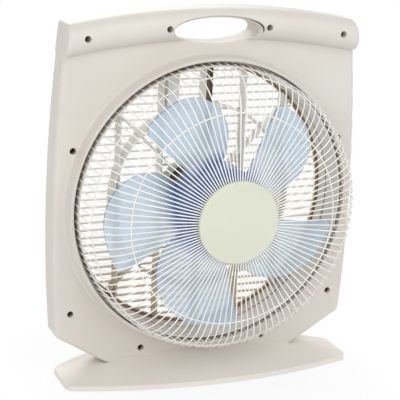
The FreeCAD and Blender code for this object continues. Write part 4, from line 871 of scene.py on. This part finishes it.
# %% [markdown]
# ## All the screws
# Screws in three groups hold the shells, the grille and the base. On a real fan each stops at
# another angle when it is tight, so every cross is turned a little further than the last one. One
# mesh per group replaces the CAD node of that group.

# %% All the screws
HEAD_HEIGHT = 0.0024
SCREW_TURN = 0.83
SCREW_GROUPS = {
    "shell_screws": ("shell_cross_screws", Vector((0, -1, 0))),
    "rear_guard_screws": ("grille_cross_screws", Vector((0, 1, 0))),
    "base_screws": ("base_cross_screws", Vector((0, 0, -1))),
}


def make_screws(node_name, name, outward):
    """Cross screws in the places of a node's screws, with their heads outward."""
    along = max(range(3), key=lambda axis: abs(outward[axis]))
    tilt = outward.to_track_quat("Z", "Y").to_matrix().to_4x4()
    builder = bmesh.new()
    for number, (low, high) in enumerate(loose_parts(nodes[node_name])):
        size = high - low
        top = (low + high) / 2
        top[along] = (high if outward[along] > 0 else low)[along]
        head = min(size[axis] for axis in range(3) if axis != along) / 2
        corners = add_screw(builder, head, HEAD_HEIGHT, size[along])
        spin = Matrix.Rotation(number * SCREW_TURN, 4, "Z")
        bmesh.ops.transform(builder, verts=corners, matrix=Matrix.Translation(top) @ tilt @ spin)
    bmesh.ops.recalc_face_normals(builder, faces=builder.faces)
    piece = add_to_scene(name, finished_mesh(builder, name))
    paint(piece, screw_steel)
    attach(piece, "housing")
    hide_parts(node_name)
    return piece


for node_name, (name, outward) in SCREW_GROUPS.items():
    screws = make_screws(node_name, name, outward)
    print(name, "in place of", node_name, "with", len(screws.data.polygons), "faces")

# %% [markdown]
# ## The floor
# The photograph has a white ground with hardly a shadow. A plain white floor would come out grey
# here and there, so this one is mostly its own light where it is looked at, with a share of
# diffuse white round the base that keeps a faint shadow. For the light on the object it is an
# ordinary white floor.

# %% Floor
FLOOR_REACH = 3.0
FLOOR_WHITE = (0.95, 0.95, 0.95, 1.0)
PURE_WHITE = (1.0, 1.0, 1.0, 1.0)
SHADOW_FADE = (0.12, 0.30)
GLOW_AT_BASE = 0.8


def seen_directly(tree):
    """1 for rays from the camera, mirrors and clear plastics, 0 for the light on the object."""
    rays = tree.nodes.new("ShaderNodeLightPath").outputs
    return largest(tree, (rays["Is Camera Ray"], rays["Is Glossy Ray"], rays["Is Transmission Ray"]))


floor_material = bpy.data.materials.new("white_ground")
floor_material.use_nodes = True
floor_tree = floor_material.node_tree
floor_tree.nodes.clear()
ground = new_node(floor_tree, "ShaderNodeBsdfDiffuse", Color=FLOOR_WHITE)
glow = new_node(floor_tree, "ShaderNodeEmission", Color=PURE_WHITE, Strength=1.0)
share = floor_tree.nodes.new("ShaderNodeMixShader")
result = floor_tree.nodes.new("ShaderNodeOutputMaterial")
position = floor_tree.nodes.new("ShaderNodeTexCoord").outputs["Object"]
from_middle = step_at(floor_tree, length_of(floor_tree, position), *SHADOW_FADE)
dim = floor_tree.nodes.new("ShaderNodeMath")
dim.operation = "MULTIPLY"
floor_tree.links.new(spread(floor_tree, from_middle, GLOW_AT_BASE, 1.0), dim.inputs[0])
floor_tree.links.new(seen_directly(floor_tree), dim.inputs[1])
floor_tree.links.new(dim.outputs["Value"], share.inputs["Fac"])
floor_tree.links.new(ground.outputs["BSDF"], share.inputs[1])
floor_tree.links.new(glow.outputs["Emission"], share.inputs[2])
floor_tree.links.new(share.outputs["Shader"], result.inputs["Surface"])

grid = bmesh.new()
bmesh.ops.create_grid(grid, x_segments=1, y_segments=1, size=FLOOR_REACH)
floor = add_to_scene("floor", finished_mesh(grid, "floor"))
paint(floor, floor_material)
print("floor reaches", FLOOR_REACH, "m to each side")

# %% [markdown]
# ## The world
# Past the floor the background is pure white too. The same switch as on the floor makes the world
# white where it is looked at and dimmer as a light, so that it doesn't wash out the shading.

# %% World
SKY_LIGHT = 0.64

world = bpy.data.worlds.new("studio")
bpy.context.scene.world = world
world.use_nodes = True
sky = world.node_tree
background = sky.nodes["Background"]
background.inputs["Color"].default_value = PURE_WHITE
sky.links.new(spread(sky, seen_directly(sky), SKY_LIGHT, 1.0), background.inputs["Strength"])
print("sky light:", SKY_LIGHT)

# %% [markdown]
# ## Lamps
# The photograph was lit softly from several sides. Three large round area lamps do that: one from
# the upper right, one from the left and one from behind, which brightens the slats and the
# blades. A large lamp gives a soft shadow, whatever its power.

# %% Lamps
FAN_MIDDLE = Vector((0.0, 0.0, AXIS_Z))
LAMPS = {
    "key_lamp": {"place": (0.6, -1.8, 1.9), "size": 1.8, "power": 16.5},
    "fill_lamp": {"place": (-1.5, -1.7, 0.8), "size": 1.8, "power": 11.5},
    "back_lamp": {"place": (0.3, 1.8, 1.5), "size": 1.4, "power": 14.0},
}


def soft_lamp(name, place, size, power):
    """A round area lamp that looks at the middle of the fan."""
    data = bpy.data.lights.new(name, "AREA")
    data.shape = "DISK"
    data.size = size
    data.energy = power
    lamp = add_to_scene(name, data)
    lamp.location = place
    lamp.rotation_euler = (FAN_MIDDLE - Vector(place)).to_track_quat("-Z", "Y").to_euler()
    return lamp


for lamp_name, settings in LAMPS.items():
    lamp = soft_lamp(lamp_name, **settings)
    print(lamp_name, lamp.data.energy, "W")

# %% [markdown]
# ## The end
# The dressing is done; the last cell only says so.

# %% Finish
print("fan dressed")
